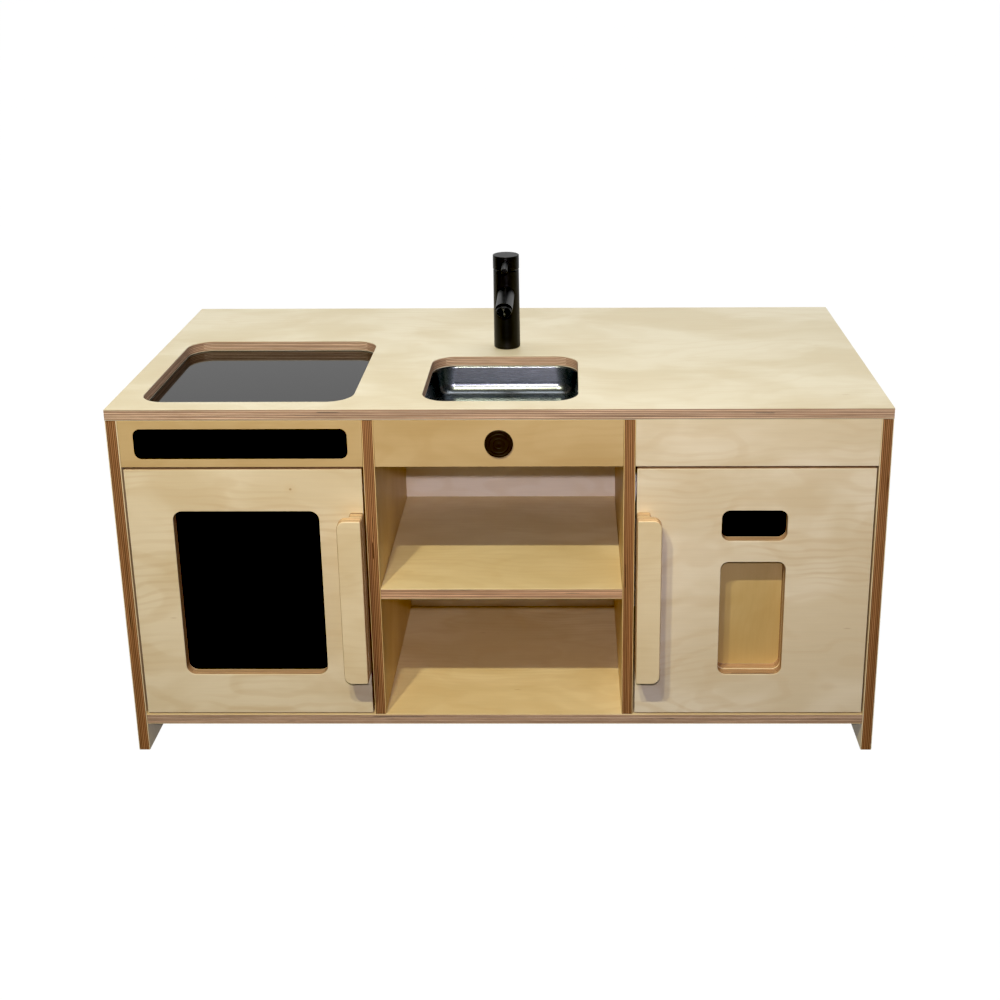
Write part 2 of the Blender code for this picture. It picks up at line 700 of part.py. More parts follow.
def tap_fixing():
    """Stud, gasket, washer and nut that clamp the tap to the worktop from below."""
    top = HEIGHT + TAP_SEAL + STUD_SOCKET
    stud = cylinder(STUD_RADIUS, top - STUD_LENGTH, top, THIN_STEPS)
    add_object("tap_stud", moved(stud, Matrix.Translation(TAP_MOUTH)), STEEL, smooth=True)
    bore = circle((0, TAP_Y), STUD_RADIUS + GAP, THIN_STEPS, inwards=-1)
    stack = UNDER_TOP - GAP
    for name, radius, thickness, material in (
        ("tap_gasket", GASKET_RADIUS, GASKET_THICKNESS, RUBBER),
        ("tap_washer", WASHER_RADIUS, WASHER_THICKNESS, STEEL),
    ):
        disc = plate(circle((0, TAP_Y), radius), thickness, [bore], arris=0)
        add_object(name, moved(disc, Matrix.Translation((0, 0, stack - thickness))), material)
        stack -= thickness + GAP
    nut = plate(circle((0, TAP_Y), NUT_RADIUS, NUT_SIDES), NUT_THICKNESS, [bore], arris=0)
    add_object("tap_nut", moved(nut, Matrix.Translation((0, 0, stack - NUT_THICKNESS))), STEEL)


# Doors. side is -1 for the oven on the left and 1 for the fridge on the right; each hangs on its side panel.


def door_bounds(side):
    centre = side * BAY_CENTRE_X
    return (centre - DOOR_WIDTH / 2, DOOR_BOTTOM), (centre + DOOR_WIDTH / 2, DOOR_TOP)


def hinge_heights():
    return {"lower": DOOR_BOTTOM + HINGE_FROM_END, "upper": DOOR_TOP - HINGE_FROM_END}


def hinge(prefix, side, level, z, door, pivot):
    """A cup let into the door's back, and an arm and its mounting plate on the side panel."""
    cup_x = side * (PIVOT_X - CUP_INSET)
    place = (cup_x, DOOR_BACK + GAP, z)
    half = (FLANGE_WIDTH / 2, CUP_RADIUS + FLANGE_EAR)
    outline = rounded_rectangle((cup_x - half[0], z - half[1]), (cup_x + half[0], z + half[1]),
                                (FLANGE_CORNER,) * 4)
    flange = standing(plate(outline, FLANGE_THICKNESS, arris=0), DOOR_BACK + GAP)
    node = add_object(f"{prefix}_hinge_cup_{level}", flange, STEEL, pivot)
    cup = aimed(cylinder(CUP_RADIUS, -FLANGE_THICKNESS / 2, CUP_DEPTH), place, -Y_AXIS)
    cut(node, f"{prefix}_cup_body_{level}", cup, "UNION")
    bore = aimed(cylinder(CUP_RADIUS + GAP, -CUP_DEPTH, CUP_DEPTH + GAP), place, -Y_AXIS)
    cut(door, f"{prefix}_cup_bore_{level}", bore)
    hinge_arm(f"{prefix}_hinge_arm_{level}", side, z)


def hinge_arm(name, side, z):
    """A cranked arm that ends just behind the cup, on a plate that is screwed to the side panel."""
    wall = side * (INNER_X - GAP)
    start = DOOR_BACK + GAP + FLANGE_THICKNESS + ARM_CLEARANCE
    end = start + ARM_LENGTH
    inner = MOUNT_PLATE_THICKNESS / 2
    outer = inner + ARM_THICKNESS
    crank = CUP_INSET + DOOR_GAP
    near = crank - ARM_THICKNESS / 2
    far = crank + ARM_THICKNESS / 2
    neck = start + ARM_NECK
    knee = neck + ARM_CRANK
    outline = [(inner, end), (inner, knee), (near, neck), (near, start),
               (far, start), (far, neck + ARM_SHOULDER), (outer, knee + ARM_SHOULDER), (outer, end)]
    points = [(wall - side * x, y) for x, y in outline]
    node = add_object(name, prism(points, z - ARM_HEIGHT / 2, z + ARM_HEIGHT / 2), STEEL)
    plate_y = end - MOUNT_PLATE_FROM_END - MOUNT_PLATE_WIDTH
    plate_x = wall - side * MOUNT_PLATE_THICKNESS
    reach = MOUNT_PLATE_HEIGHT / 2
    mount = block((min(wall, plate_x), plate_y, z - reach),
                  (max(wall, plate_x), plate_y + MOUNT_PLATE_WIDTH, z + reach))
    cut(node, f"{name}_plate", mount, "UNION")


def catch(prefix, side, pivot):
    """A magnetic catch on the divider, and the steel plate on the door that it holds."""
    wall = side * (DIVIDER_X + PLY + GAP)
    inner = wall + side * CATCH_THICKNESS
    z = DOOR_TOP - CATCH_DROP
    start = DOOR_BACK + GAP + STRIKE_THICKNESS + GAP
    end = start + CATCH_DEPTH
    half = CATCH_HEIGHT / 2
    body = block((min(wall, inner), start, z - half), (max(wall, inner), end, z + half))
    node = add_object(f"{prefix}_catch", body, PLASTIC)
    reach = half + EAR_HEIGHT
    ear = wall + side * EAR_THICKNESS
    ears = block((min(wall, ear), start + EAR_INSET, z - reach),
                 (max(wall, ear), end - EAR_INSET, z + reach))
    cut(node, f"{prefix}_catch_ears", ears, "UNION")
    plate_x = side * (DIVIDER_X + PLY + DOOR_GAP + STRIKE_INSET + STRIKE_WIDTH / 2)
    low = (plate_x - STRIKE_WIDTH / 2, z - STRIKE_LENGTH / 2)
    high = (plate_x + STRIKE_WIDTH / 2, z + STRIKE_LENGTH / 2)
    strike = plate(rounded_rectangle(low, high, (STRIKE_CORNER,) * 4), STRIKE_THICKNESS, arris=0)
    add_object(f"{prefix}_strike_plate", standing(strike, DOOR_BACK + GAP), STEEL, pivot)


def handle(prefix, side, door, pivot):
    """A ply grip on a narrower ply spacer, flush with the door's free edge, screwed on from behind."""
    free = side * (DIVIDER_X + PLY + DOOR_GAP)
    low_z = DOOR_MIDDLE - GRIP_HEIGHT / 2
    high_z = DOOR_MIDDLE + GRIP_HEIGHT / 2
    soft = GRIP_RADIUS
    edge = GRIP_EDGE_RADIUS
    spacer_low = (min(free, free + side * SPACER_WIDTH), low_z)
    spacer_high = (max(free, free + side * SPACER_WIDTH), high_z)
    grip_low = (min(free, free + side * GRIP_WIDTH), low_z)
    grip_high = (max(free, free + side * GRIP_WIDTH), high_z)
    radii = (soft, edge, edge, soft) if side < 0 else (edge, soft, soft, edge)
    spacer = plate(rounded_rectangle(spacer_low, spacer_high, (edge,) * 4), PLY - GAP, arris=0)
    spacer = add_object(f"{prefix}_handle_spacer", standing(spacer, FRONT - PLY), BIRCH, pivot)
    grip = plate(rounded_rectangle(grip_low, grip_high, radii), PLY - GAP, arris=GRIP_ROUND_OVER, steps=2)
    grip = add_object(f"{prefix}_handle_grip", standing(grip, FRONT - 2 * PLY), BIRCH, pivot)
    length = 2 * PLY + HANDLE_SCREW_BITE
    for way, level in ((-1, "lower"), (1, "upper")):
        z = DOOR_MIDDLE + way * (GRIP_HEIGHT / 2 - HANDLE_SCREW_FROM_END)
        seat = (free + side * SPACER_WIDTH / 2, DOOR_BACK, z)
        add_object(f"{prefix}_handle_screw_{level}", screw(seat, -Y_AXIS, length), STEEL, pivot)
        for target in (door, spacer, grip):
            cut(target, f"{target.name}_hole_{level}", screw_hole(seat, -Y_AXIS, length))


def window_bounds(low, high, lap=0.0):
    margin = WINDOW_MARGIN - lap
    return (low[0] + margin, low[1] + margin), (high[0] - margin, high[1] - margin)


def oven_door():
    side = -1
    low, high = door_bounds(side)
    pivot = add_pivot("oven_door_axis", (side * PIVOT_X, FRONT, DOOR_MIDDLE))
    opening = window(*window_bounds(low, high), WINDOW_RADIUS)
    door = add_object("oven_door", standing(plate(rectangle(low, high), PLY, [opening]), FRONT), BIRCH, pivot)
    pane_low, pane_high = window_bounds(low, high, WINDOW_LAP)
    pane = plate(rounded_rectangle(pane_low, pane_high, (WINDOW_RADIUS,) * 4), ACRYLIC, arris=ACRYLIC_ARRIS)
    add_object("oven_window", standing(pane, DOOR_BACK + GAP), ACRYLIC_BLACK, pivot)
    hang("oven", side, door, pivot)


def hang(prefix, side, door, pivot):
    for level, z in hinge_heights().items():
        hinge(prefix, side, level, z, door, pivot)
    catch(prefix, side, pivot)
    handle(prefix, side, door, pivot)


def fridge_door():
    side = 1
    low, high = door_bounds(side)
    pivot = add_pivot("fridge_door_axis", (side * PIVOT_X, FRONT, DOOR_MIDDLE))
    centre = side * BAY_CENTRE_X
    half = SLOT_WIDTH / 2
    slot_low = (centre - half, high[1] - WINDOW_MARGIN - SLOT_HEIGHT)
    slot_high = (centre + half, high[1] - WINDOW_MARGIN)
    recess_low = (centre - half, low[1] + WINDOW_MARGIN)
    recess_high = (centre + half, slot_low[1] - SLOT_TO_RECESS)
    holes = [window(slot_low, slot_high, SLOT_RADIUS), window(recess_low, recess_high, SLOT_RADIUS)]
    door = add_object("fridge_door", standing(plate(rectangle(low, high), PLY, holes), FRONT), BIRCH, pivot)
    border = min(RECESS_BORDER, SLOT_TO_RECESS / 2 - GAP)
    recess_box(recess_low, recess_high, border, pivot)
    panel_low = (slot_low[0] - RECESS_BORDER, slot_low[1] - border)
    panel_high = (slot_high[0] + RECESS_BORDER, slot_high[1] + border)
    outline = rounded_rectangle(panel_low, panel_high, (ACRYLIC_CORNER,) * 4)
    panel = plate(outline, ACRYLIC, arris=ACRYLIC_ARRIS)
    add_object("slot_panel", standing(panel, DOOR_BACK + GAP), ACRYLIC_BLACK, pivot)
    hang("fridge", side, door, pivot)


def recess_box(low, high, border, pivot):
    """A second layer of ply behind the recess, and a board that closes it."""
    outer_low = (low[0] - RECESS_BORDER, low[1] - border)
    outer_high = (high[0] + RECESS_BORDER, high[1] + border)
    opening = window(low, high, SLOT_RADIUS)
    frame = plate(rectangle(outer_low, outer_high), PLY, [opening])
    start = DOOR_BACK + GAP
    add_object("recess_frame", standing(frame, start), BIRCH, pivot)
    board = plate(rectangle(outer_low, outer_high), RECESS_BACK_THICKNESS)
    add_object("recess_back", standing(board, start + PLY + GAP), BIRCH, pivot)


carcass()
worktop_brackets()
hob_panel()
badge()
sink_bowl()
sink_clips()
tap_body()
tap_spout()
tap_handle()
tap_fixing()
oven_door()
fridge_door()
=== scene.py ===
"""Looks of the toy kitchen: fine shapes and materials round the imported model, with its lights and camera."""

import math

import bmesh
import bpy
from mathutils import Matrix, Vector

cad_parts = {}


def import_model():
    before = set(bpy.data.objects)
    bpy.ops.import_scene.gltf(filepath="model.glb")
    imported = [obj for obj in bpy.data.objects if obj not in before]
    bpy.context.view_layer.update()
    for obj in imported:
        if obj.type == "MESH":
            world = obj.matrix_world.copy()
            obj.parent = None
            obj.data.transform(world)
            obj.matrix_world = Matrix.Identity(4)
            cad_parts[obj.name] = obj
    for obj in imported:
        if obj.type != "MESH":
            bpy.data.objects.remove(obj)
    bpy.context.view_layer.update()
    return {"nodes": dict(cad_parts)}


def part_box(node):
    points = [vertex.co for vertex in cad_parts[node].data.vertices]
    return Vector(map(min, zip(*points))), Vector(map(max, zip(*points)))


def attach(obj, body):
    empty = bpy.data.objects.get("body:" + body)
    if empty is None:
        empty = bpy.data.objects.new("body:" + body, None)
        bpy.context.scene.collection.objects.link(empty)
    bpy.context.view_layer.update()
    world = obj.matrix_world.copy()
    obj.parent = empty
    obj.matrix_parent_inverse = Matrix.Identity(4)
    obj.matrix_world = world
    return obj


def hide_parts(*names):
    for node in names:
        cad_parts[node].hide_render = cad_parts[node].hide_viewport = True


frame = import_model()

X_AXIS = Vector((1, 0, 0))
Y_AXIS = Vector((0, 1, 0))
Z_AXIS = Vector((0, 0, 1))

# Sizes that the boxes of the CAD nodes don't give, in metres
ARRIS = 0.0008
ACRYLIC_ARRIS = 0.0004
HOB_LAP = 0.006
HOB_RADIUS = 0.040
SINK_RADIUS = 0.040
BOWL_FLANGE = 0.016
WINDOW_LAP = 0.020
WINDOW_RADIUS = 0.015
SLOT_BORDER = 0.030
SLOT_BORDER_SHORT = 0.0177
SLOT_RADIUS = 0.013
ACRYLIC_CORNER = 0.004
STRIP_RADIUS = 0.012
GRIP_RADIUS = 0.013
GRIP_EDGE_RADIUS = 0.003
GRIP_ROUND_OVER = 0.002
TAP_HOLE_RADIUS = 0.016
PLIES = 13

# How finely curves are cut
CORNER_STEPS = 14
ARRIS_STEPS = 3
ROUND_STEPS = 96
SHARP_ANGLE = math.radians(32)

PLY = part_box("left_divider")[1].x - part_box("left_divider")[0].x


# Node trees


class Graph:
    """The node tree of one material, built a node at a time."""

    def __init__(self, name, roughness=0.5, metallic=0.0, specular=0.5):
        self.material = bpy.data.materials.new(name)
        self.material.use_nodes = True
        self.tree = self.material.node_tree
        self.shader = self.tree.nodes["Principled BSDF"]
        self.shader.inputs["Roughness"].default_value = roughness
        self.shader.inputs["Metallic"].default_value = metallic
        self.shader.inputs["Specular IOR Level"].default_value = specular
        self.place = self.tree.nodes.new("ShaderNodeTexCoord")

    def put(self, socket, value):
        if isinstance(value, bpy.types.NodeSocket):
            self.tree.links.new(value, socket)
        else:
            socket.default_value = value

    def math(self, operation, *values, clamp=False):
        node = self.tree.nodes.new("ShaderNodeMath")
        node.operation = operation
        node.use_clamp = clamp
        for socket, value in zip(node.inputs, values):
            self.put(socket, value)
        return node.outputs[0]

    def split(self, vector):
        node = self.tree.nodes.new("ShaderNodeSeparateXYZ")
        self.put(node.inputs[0], vector)
        return list(node.outputs)

    def join(self, *values):
        node = self.tree.nodes.new("ShaderNodeCombineXYZ")
        for socket, value in zip(node.inputs, values):
            self.put(socket, value)
        return node.outputs[0]

    def stretched(self, run, rise, depth, along, aside):
        """A place for a texture, scaled by its own amount along the grain and across it."""
        return self.join(self.math("MULTIPLY", run, along), self.math("MULTIPLY", rise, aside), depth)

    def grey(self, value):
        return self.join(value, value, value)

    def noise(self, vector, scale=1.0, detail=2.0, roughness=0.5, distortion=0.0):
        node = self.tree.nodes.new("ShaderNodeTexNoise")
        self.put(node.inputs["Vector"], vector)
        node.inputs["Scale"].default_value = scale
        node.inputs["Detail"].default_value = detail
        node.inputs["Roughness"].default_value = roughness
        node.inputs["Distortion"].default_value = distortion
        return node.outputs[0]

    def cells(self, vector, scale):
        """Distance to the nearest of a set of scattered points, and a random value for each point."""
        node = self.tree.nodes.new("ShaderNodeTexVoronoi")
        self.put(node.inputs["Vector"], vector)
        node.inputs["Scale"].default_value = scale
        chance = self.split(node.outputs["Color"])[0]
        return node.outputs["Distance"], chance

    def between(self, value, low, high):
        """0 below low, 1 above high, and smooth in between."""
        node = self.tree.nodes.new("ShaderNodeMapRange")
        node.interpolation_type = "SMOOTHSTEP"
        self.put(node.inputs["Value"], value)
        self.put(node.inputs["From Min"], low)
        self.put(node.inputs["From Max"], high)
        return node.outputs[0]

    def span(self, value, low, high):
        """Takes 0 to 1 onto low to high."""
        return self.math("MULTIPLY_ADD", value, high - low, low)

    def mix(self, factor, first, second, kind="MIX"):
        node = self.tree.nodes.new("ShaderNodeMix")
        node.data_type = "RGBA"
        node.blend_type = kind
        self.put(node.inputs[0], factor)
        self.put(node.inputs[6], first if isinstance(first, bpy.types.NodeSocket) else (*first, 1))
        self.put(node.inputs[7], second if isinstance(second, bpy.types.NodeSocket) else (*second, 1))
        return node.outputs[2]

    def bump(self, height, strength, distance):
        node = self.tree.nodes.new("ShaderNodeBump")
        node.inputs["Strength"].default_value = strength
        node.inputs["Distance"].default_value = distance
        self.put(node.inputs["Height"], height)
        self.put(self.shader.inputs["Normal"], node.outputs[0])

    def finish(self, colour=None, roughness=None):
        if colour is not None:
            self.put(self.shader.inputs["Base Color"], colour)
        if roughness is not None:
            self.put(self.shader.inputs["Roughness"], roughness)
        return self.material


def scaled(colour, factor):
    return tuple(channel * factor for channel in colour)


def tinted(colour, tint):
    return tuple(channel * share for channel, share in zip(colour, tint))


# Birch plywood. Each tone is the face veneer of one board, or of a few that match.

CREAM = (0.80, 0.68, 0.45)
HONEY = (0.55, 0.405, 0.205)
BLUSH = (0.75, 0.67, 0.51)
BUTTER = (0.74, 0.645, 0.455)
GRIP = (0.73, 0.62, 0.41)
AMBER = (0.55, 0.405, 0.18)
ROSY = (0.86, 0.79, 0.65)
SHELF = (0.77, 0.63, 0.37)
INNER = (0.70, 0.50, 0.24)
TOP = (0.65, 0.60, 0.475)

# The cut edges of boards: plies along their grain, plies across it, the glue between them, and painted shade
# for the open gaps in the plies
EDGE_LONG = (0.62, 0.425, 0.275)
EDGE_END = (0.285, 0.150, 0.083)
GLUE = (0.085, 0.040, 0.022)
# Painted shade: a near-black colour for the open gaps between plies, standing in for the shade inside them
PLY_GAP_SHADE = (0.012, 0.005, 0.003)

# Tints of those for different boards
PALE_EDGE = (1.06, 1.16, 1.30)
SHELF_EDGE = (1.12, 1.10, 1.08)
BROWN_EDGE = (0.60, 0.46, 0.31)
GRIP_EDGE = (1.55, 1.70, 1.60)
PLAIN_EDGE = (1.15, 1.15, 1.05)


def birch(name, box, across, along, tone=CREAM, figure=1.0, seed=0.0, edge=PLAIN_EDGE, skin=0.95):
    """Lacquered birch plywood.

    across is the axis through the board and along the axis of its face grain. The board's faces and its two
    outer plies have the flowing figure of rotary-cut veneer. The other plies show on its edges: those cut
    along their grain are paler than those cut across it. skin is how deep the face veneer goes, in plies.
    """
    graph = Graph(name, roughness=0.42, specular=0.35)
    place = graph.split(graph.place.outputs["Object"])
    normal = graph.split(graph.place.outputs["Normal"])
    aside = 3 - across - along
    run = graph.math("ADD", place[along], seed * 1.37)
    rise = graph.math("ADD", place[aside], seed * 0.73)
    facing = graph.math("ABSOLUTE", normal[across])
    colour = veneer(graph, run, rise, tone, figure, seed)

    depth = graph.math("DIVIDE", graph.math("SUBTRACT", place[across], box[0][across]), PLY / PLIES)
    sway = graph.noise(graph.join(run, rise, seed), 9.0, 2.0)
    swayed = graph.math("ADD", depth, graph.span(sway, -0.22, 0.22))
    edges = laminations(graph, swayed, run, rise, graph.math("ABSOLUTE", normal[along]), seed, edge)
    inner = graph.math("MINIMUM", swayed, graph.math("SUBTRACT", float(PLIES), swayed))
    buried = graph.between(inner, skin, skin + 0.17)
    on_edge = graph.math("SUBTRACT", 1.0, graph.between(facing, 0.90, 0.985))
    shown = graph.math("MULTIPLY", buried, on_edge)
    colour = graph.mix(shown, colour, edges)

    fibres = graph.noise(graph.stretched(run, rise, seed, 18.0, 900.0))
    graph.bump(fibres, 0.10, 0.0002)
    sheen = graph.math("ADD", graph.span(fibres, 0.38, 0.48), graph.math("MULTIPLY", shown, 0.25))
    return graph.finish(colour, sheen)


def veneer(graph, run, rise, tone, figure, seed):
    """Growth rings cut nearly flat: close, wavy lines along the grain, over broad soft patches."""
    field = graph.noise(graph.stretched(run, rise, seed, 2.6, 5.2), detail=3.0)
    rings = graph.math("MULTIPLY_ADD", field, 11.0, graph.math("MULTIPLY", rise, 78.0))
    wave = graph.math("SINE", graph.math("MULTIPLY", rings, 2 * math.pi))
    crest = graph.between(wave, -0.1, 1.0)
    broad = graph.math("SINE", graph.math("MULTIPLY_ADD", field, 58.0, graph.math("MULTIPLY", rise, 42.0)))
    patch = graph.noise(graph.stretched(run, rise, seed + 4, 4.0, 9.0))
    strength = graph.between(patch, 0.38, 0.66)
    line = graph.math("MULTIPLY", graph.math("MULTIPLY", crest, strength), 0.50 * figure)
    cloud = graph.math("MULTIPLY", graph.between(broad, 0.2, 1.0), 0.40 * figure)
    blotch = graph.noise(graph.stretched(run, rise, seed + 9, 4.5, 8.0), detail=3.0, roughness=0.55,
                         distortion=0.6)
    fibre = graph.noise(graph.stretched(run, rise, seed, 14.0, 420.0), detail=3.0, roughness=0.6)
    pale = scaled(tone, 1.07)
    warm = tinted(tone, (0.95, 0.91, 0.83))
    honey = tinted(tone, (0.88, 0.79, 0.66))
    colour = graph.mix(graph.between(blotch, 0.34, 0.66), pale, warm)
    colour = graph.mix(graph.math("ADD", line, cloud, clamp=True), colour, honey)
    colour = graph.mix(1.0, colour, graph.grey(graph.span(fibre, 0.95, 1.04)), "MULTIPLY")
    return flecks(graph, colour, run, rise, tone, seed)


def flecks(graph, colour, run, rise, tone, seed):
    """Short brown dashes in a few places, and now and then a pin knot with a halo."""
    bark = tinted(tone, (0.52, 0.36, 0.22))
    amber = tinted(tone, (0.85, 0.68, 0.45))
    spot, chance = graph.cells(graph.stretched(run, rise, seed, 14.0, 80.0), 1.0)
    dash = graph.math("MULTIPLY", graph.math("SUBTRACT", 1.0, graph.between(spot, 0.03, 0.12)),
                      graph.math("GREATER_THAN", chance, 0.95))
    colour = graph.mix(graph.math("MULTIPLY", dash, 0.40), colour, bark)
    spot, chance = graph.cells(graph.join(run, rise, seed + 2), 11.0)
    rare = graph.math("GREATER_THAN", chance, 0.93)
    halo = graph.math("MULTIPLY", graph.math("SUBTRACT", 1.0, graph.between(spot, 0.0, 0.16)), rare)
    colour = graph.mix(graph.math("MULTIPLY", halo, 0.22), colour, amber)
    knot = graph.math("MULTIPLY", graph.math("SUBTRACT", 1.0, graph.between(spot, 0.012, 0.030)), rare)
    return graph.mix(graph.math("MULTIPLY", knot, 0.7), colour, bark)


def laminations(graph, depth, run, rise, on_end, seed, edge):
    """The plies and glue lines on a board's edge, with painted shade where a ply has an open gap. on_end is 1
    where the edge cuts across the face grain.
    """
    layer = graph.math("FLOOR", depth)
    part = graph.math("SUBTRACT", depth, layer)
    odd = graph.math("MODULO", layer, 2.0)
    swap = graph.math("GREATER_THAN", on_end, 0.5)
    end_grain = graph.math("ABSOLUTE", graph.math("SUBTRACT", odd, swap))
    streak = graph.noise(graph.stretched(run, rise, graph.math("MULTIPLY", depth, 1.3), 26.0, 26.0),
                         detail=5.0, roughness=0.7)
    ply_tone = graph.noise(graph.stretched(run, rise, graph.math("MULTIPLY_ADD", layer, 4.1, seed), 3.1, 3.1),
                           detail=3.0, roughness=0.6)
    end_tone = tinted(EDGE_END, edge)
    long_tone = graph.mix(graph.math("MULTIPLY", swap, 0.45), tinted(EDGE_LONG, edge), end_tone)
    colour = graph.mix(end_grain, long_tone, end_tone)
    level = graph.math("MULTIPLY", graph.span(streak, 0.45, 1.55), graph.span(ply_tone, 0.10, 1.90))
    colour = graph.mix(1.0, colour, graph.grey(level), "MULTIPLY")
    rim = graph.math("MINIMUM", part, graph.math("SUBTRACT", 1.0, part))
    glue = graph.math("SUBTRACT", 1.0, graph.between(rim, 0.03, 0.15))
    colour = graph.mix(graph.math("MULTIPLY", glue, 0.55), colour, tinted(GLUE, edge))
    # Painted shade: where a ply has an open gap, its colour is darkened to stand in for the shade inside the
    # gap
    gap = graph.noise(graph.stretched(run, rise, graph.math("MULTIPLY", layer, 7.7), 7.0, 7.0), detail=1.0)
    gap_shade = graph.math("MULTIPLY", graph.between(gap, 0.715, 0.735), graph.between(rim, 0.05, 0.20))
    return graph.mix(gap_shade, colour, PLY_GAP_SHADE)


# Other materials


def black_acrylic(name, roughness, specular, depth=1.0):
    graph = Graph(name, roughness=roughness, specular=specular)
    haze = graph.noise(graph.place.outputs["Object"], 38.0, 3.0)
    wipe = graph.noise(graph.place.outputs["Object"], 900.0, 2.0)
    colour = graph.mix(haze, scaled((0.0022, 0.0022, 0.0024), depth), scaled((0.0042, 0.0042, 0.0044), depth))
    graph.bump(wipe, 0.02, 0.0001)
    return graph.finish(colour, graph.span(haze, roughness * 0.8, roughness * 1.25))


def stainless(name, roughness=0.25):
    graph = Graph(name, roughness=roughness, metallic=1.0)
    place = graph.split(graph.place.outputs["Object"])
    across = graph.math("MULTIPLY", place[2], 1600.0)
    brushed = graph.noise(graph.stretched(place[0], place[1], across, 30.0, 1600.0))
    smear = graph.noise(graph.place.outputs["Object"], 22.0, 3.0)
    colour = graph.mix(smear, (0.205, 0.23, 0.25), (0.24, 0.265, 0.29))
    graph.bump(brushed, 0.025, 0.0001)
    return graph.finish(colour, graph.span(brushed, roughness * 0.8, roughness * 1.3))


def plated(name, colour=(0.62, 0.62, 0.61), roughness=0.28):
    graph = Graph(name, roughness=roughness, metallic=1.0)
    grain = graph.noise(graph.place.outputs["Object"], 260.0, 3.0)
    cloud = graph.noise(graph.place.outputs["Object"], 45.0, 2.0)
    tint = graph.mix(cloud, scaled(colour, 0.86), scaled(colour, 1.08))
    graph.bump(grain, 0.05, 0.0001)
    return graph.finish(tint, graph.span(grain, roughness * 0.75, roughness * 1.3))


def matt_black(name, roughness=0.36):
    """A fine powdery black coating on metal."""
    graph = Graph(name, roughness=roughness, specular=0.30)
    grain = graph.noise(graph.place.outputs["Object"], 2600.0, 2.0)
    cloud = graph.noise(graph.place.outputs["Object"], 60.0, 2.0)
    colour = graph.mix(cloud, (0.0062, 0.0068, 0.0078), (0.0082, 0.0088, 0.0100))
    graph.bump(grain, 0.10, 0.0001)
    return graph.finish(colour, graph.span(cloud, roughness * 0.9, roughness * 1.15))


def rubber(name):
    graph = Graph(name, roughness=0.8, specular=0.3)
    grain = graph.noise(graph.place.outputs["Object"], 900.0, 3.0)
    colour = graph.mix(grain, (0.012, 0.012, 0.012), (0.028, 0.028, 0.027))
    graph.bump(grain, 0.2, 0.0002)
    return graph.finish(colour, graph.span(grain, 0.7, 0.9))


def leather(name):
    graph = Graph(name, roughness=0.5, specular=0.2)
    pore, _ = graph.cells(graph.place.outputs["Object"], 1300.0)
    cloud = graph.noise(graph.place.outputs["Object"], 120.0, 3.0)
    colour = graph.mix(cloud, (0.014, 0.0095, 0.0065), (0.026, 0.0175, 0.012))
    graph.bump(graph.math("ADD", pore, cloud), 0.45, 0.0003)
    return graph.finish(colour, graph.span(cloud, 0.45, 0.65))


def white_plastic(name):
    graph = Graph(name, roughness=0.45, specular=0.4)
    cloud = graph.noise(graph.place.outputs["Object"], 70.0, 2.0)
    grain = graph.noise(graph.place.outputs["Object"], 1500.0, 2.0)
    colour = graph.mix(cloud, (0.70, 0.69, 0.64), (0.78, 0.77, 0.73))
    graph.bump(grain, 0.08, 0.0001)
    return graph.finish(colour, graph.span(grain, 0.4, 0.5))


ACRYLIC_GLOSS = black_acrylic("black_acrylic_gloss", 0.05, 0.5)
ACRYLIC_DEEP = black_acrylic("black_acrylic_deep", 0.15, 0.02, 0.25)
STEEL_SATIN = stainless("stainless_satin")
STEEL_PLATED = plated("plated_steel")
STEEL_ZINC = plated("zinc_plated_steel", (0.66, 0.64, 0.58), 0.34)
BLACK_COAT = matt_black("black_coating")
RUBBER = rubber("black_rubber")
LEATHER = leather("dark_leather")
PLASTIC = white_plastic("white_plastic")


# Outlines in two dimensions. Each is a function of an offset into the material.


def rounded_rectangle(low, high, radii, inwards=1):
    """Corner order: low-low, high-low, high-high, low-high. inwards is -1 for a hole."""
    corners = [(low[0], low[1]), (high[0], low[1]), (high[0], high[1]), (low[0], high[1])]
    towards = [(1, 1), (-1, 1), (-1, -1), (1, -1)]

    def points(offset):
        found = []
        for index, (corner, way, radius) in enumerate(zip(corners, towards, radii)):
            if radius == 0:
                step = offset * inwards
                found.append((corner[0] + way[0] * step, corner[1] + way[1] * step))
                continue
            centre = (corner[0] + way[0] * radius, corner[1] + way[1] * radius)
            reach = radius - offset * inwards
            for step in range(CORNER_STEPS + 1):
                angle = math.pi + (index + step / CORNER_STEPS) * math.pi / 2
                found.append((centre[0] + reach * math.cos(angle), centre[1] + reach * math.sin(angle)))
        return found

    return points


def window(low, high, radius):
    return rounded_rectangle(low, high, (radius,) * 4, inwards=-1)


def circle(centre, radius, sides=ROUND_STEPS, inwards=1):
    def points(offset):
        reach = radius - offset * inwards
        turns = [2 * math.pi * (step + 0.5) / sides for step in range(sides)]
        return [(centre[0] + reach * math.cos(turn), centre[1] + reach * math.sin(turn)) for turn in turns]

    return points


# Solids, as bmeshes in the frame's metres


def plate(outer, thickness, holes=(), arris=ARRIS, steps=ARRIS_STEPS):
    """A flat board in local XY, from z = 0 to its thickness, with its edges rounded over."""
    solid = bmesh.new()
    rings = []
    for step in range(steps + 1 if arris else 1):
        angle = math.pi / 2 * step / steps
        rings.append((arris * (1 - math.sin(angle)), arris * (1 - math.cos(angle))))
    levels = rings + [(offset, thickness - height) for offset, height in reversed(rings)]
    low_edges = []
    twin = {}
    for outline in (outer, *holes):
        loops = []
        for offset, height in levels:
            loops.append([solid.verts.new((x, y, height)) for x, y in outline(offset)])
        bridge(solid, loops)
        count = len(loops[0])
        for index in range(count):
            low_edges.append(solid.edges.get((loops[0][index], loops[0][(index + 1) % count])))
            twin[loops[0][index]] = loops[-1][index]
    filled = bmesh.ops.triangle_fill(solid, use_beauty=True, edges=low_edges)
    for face in [item for item in filled["geom"] if isinstance(item, bmesh.types.BMFace)]:
        solid.faces.new([twin[vertex] for vertex in reversed(face.verts)])
    return solid


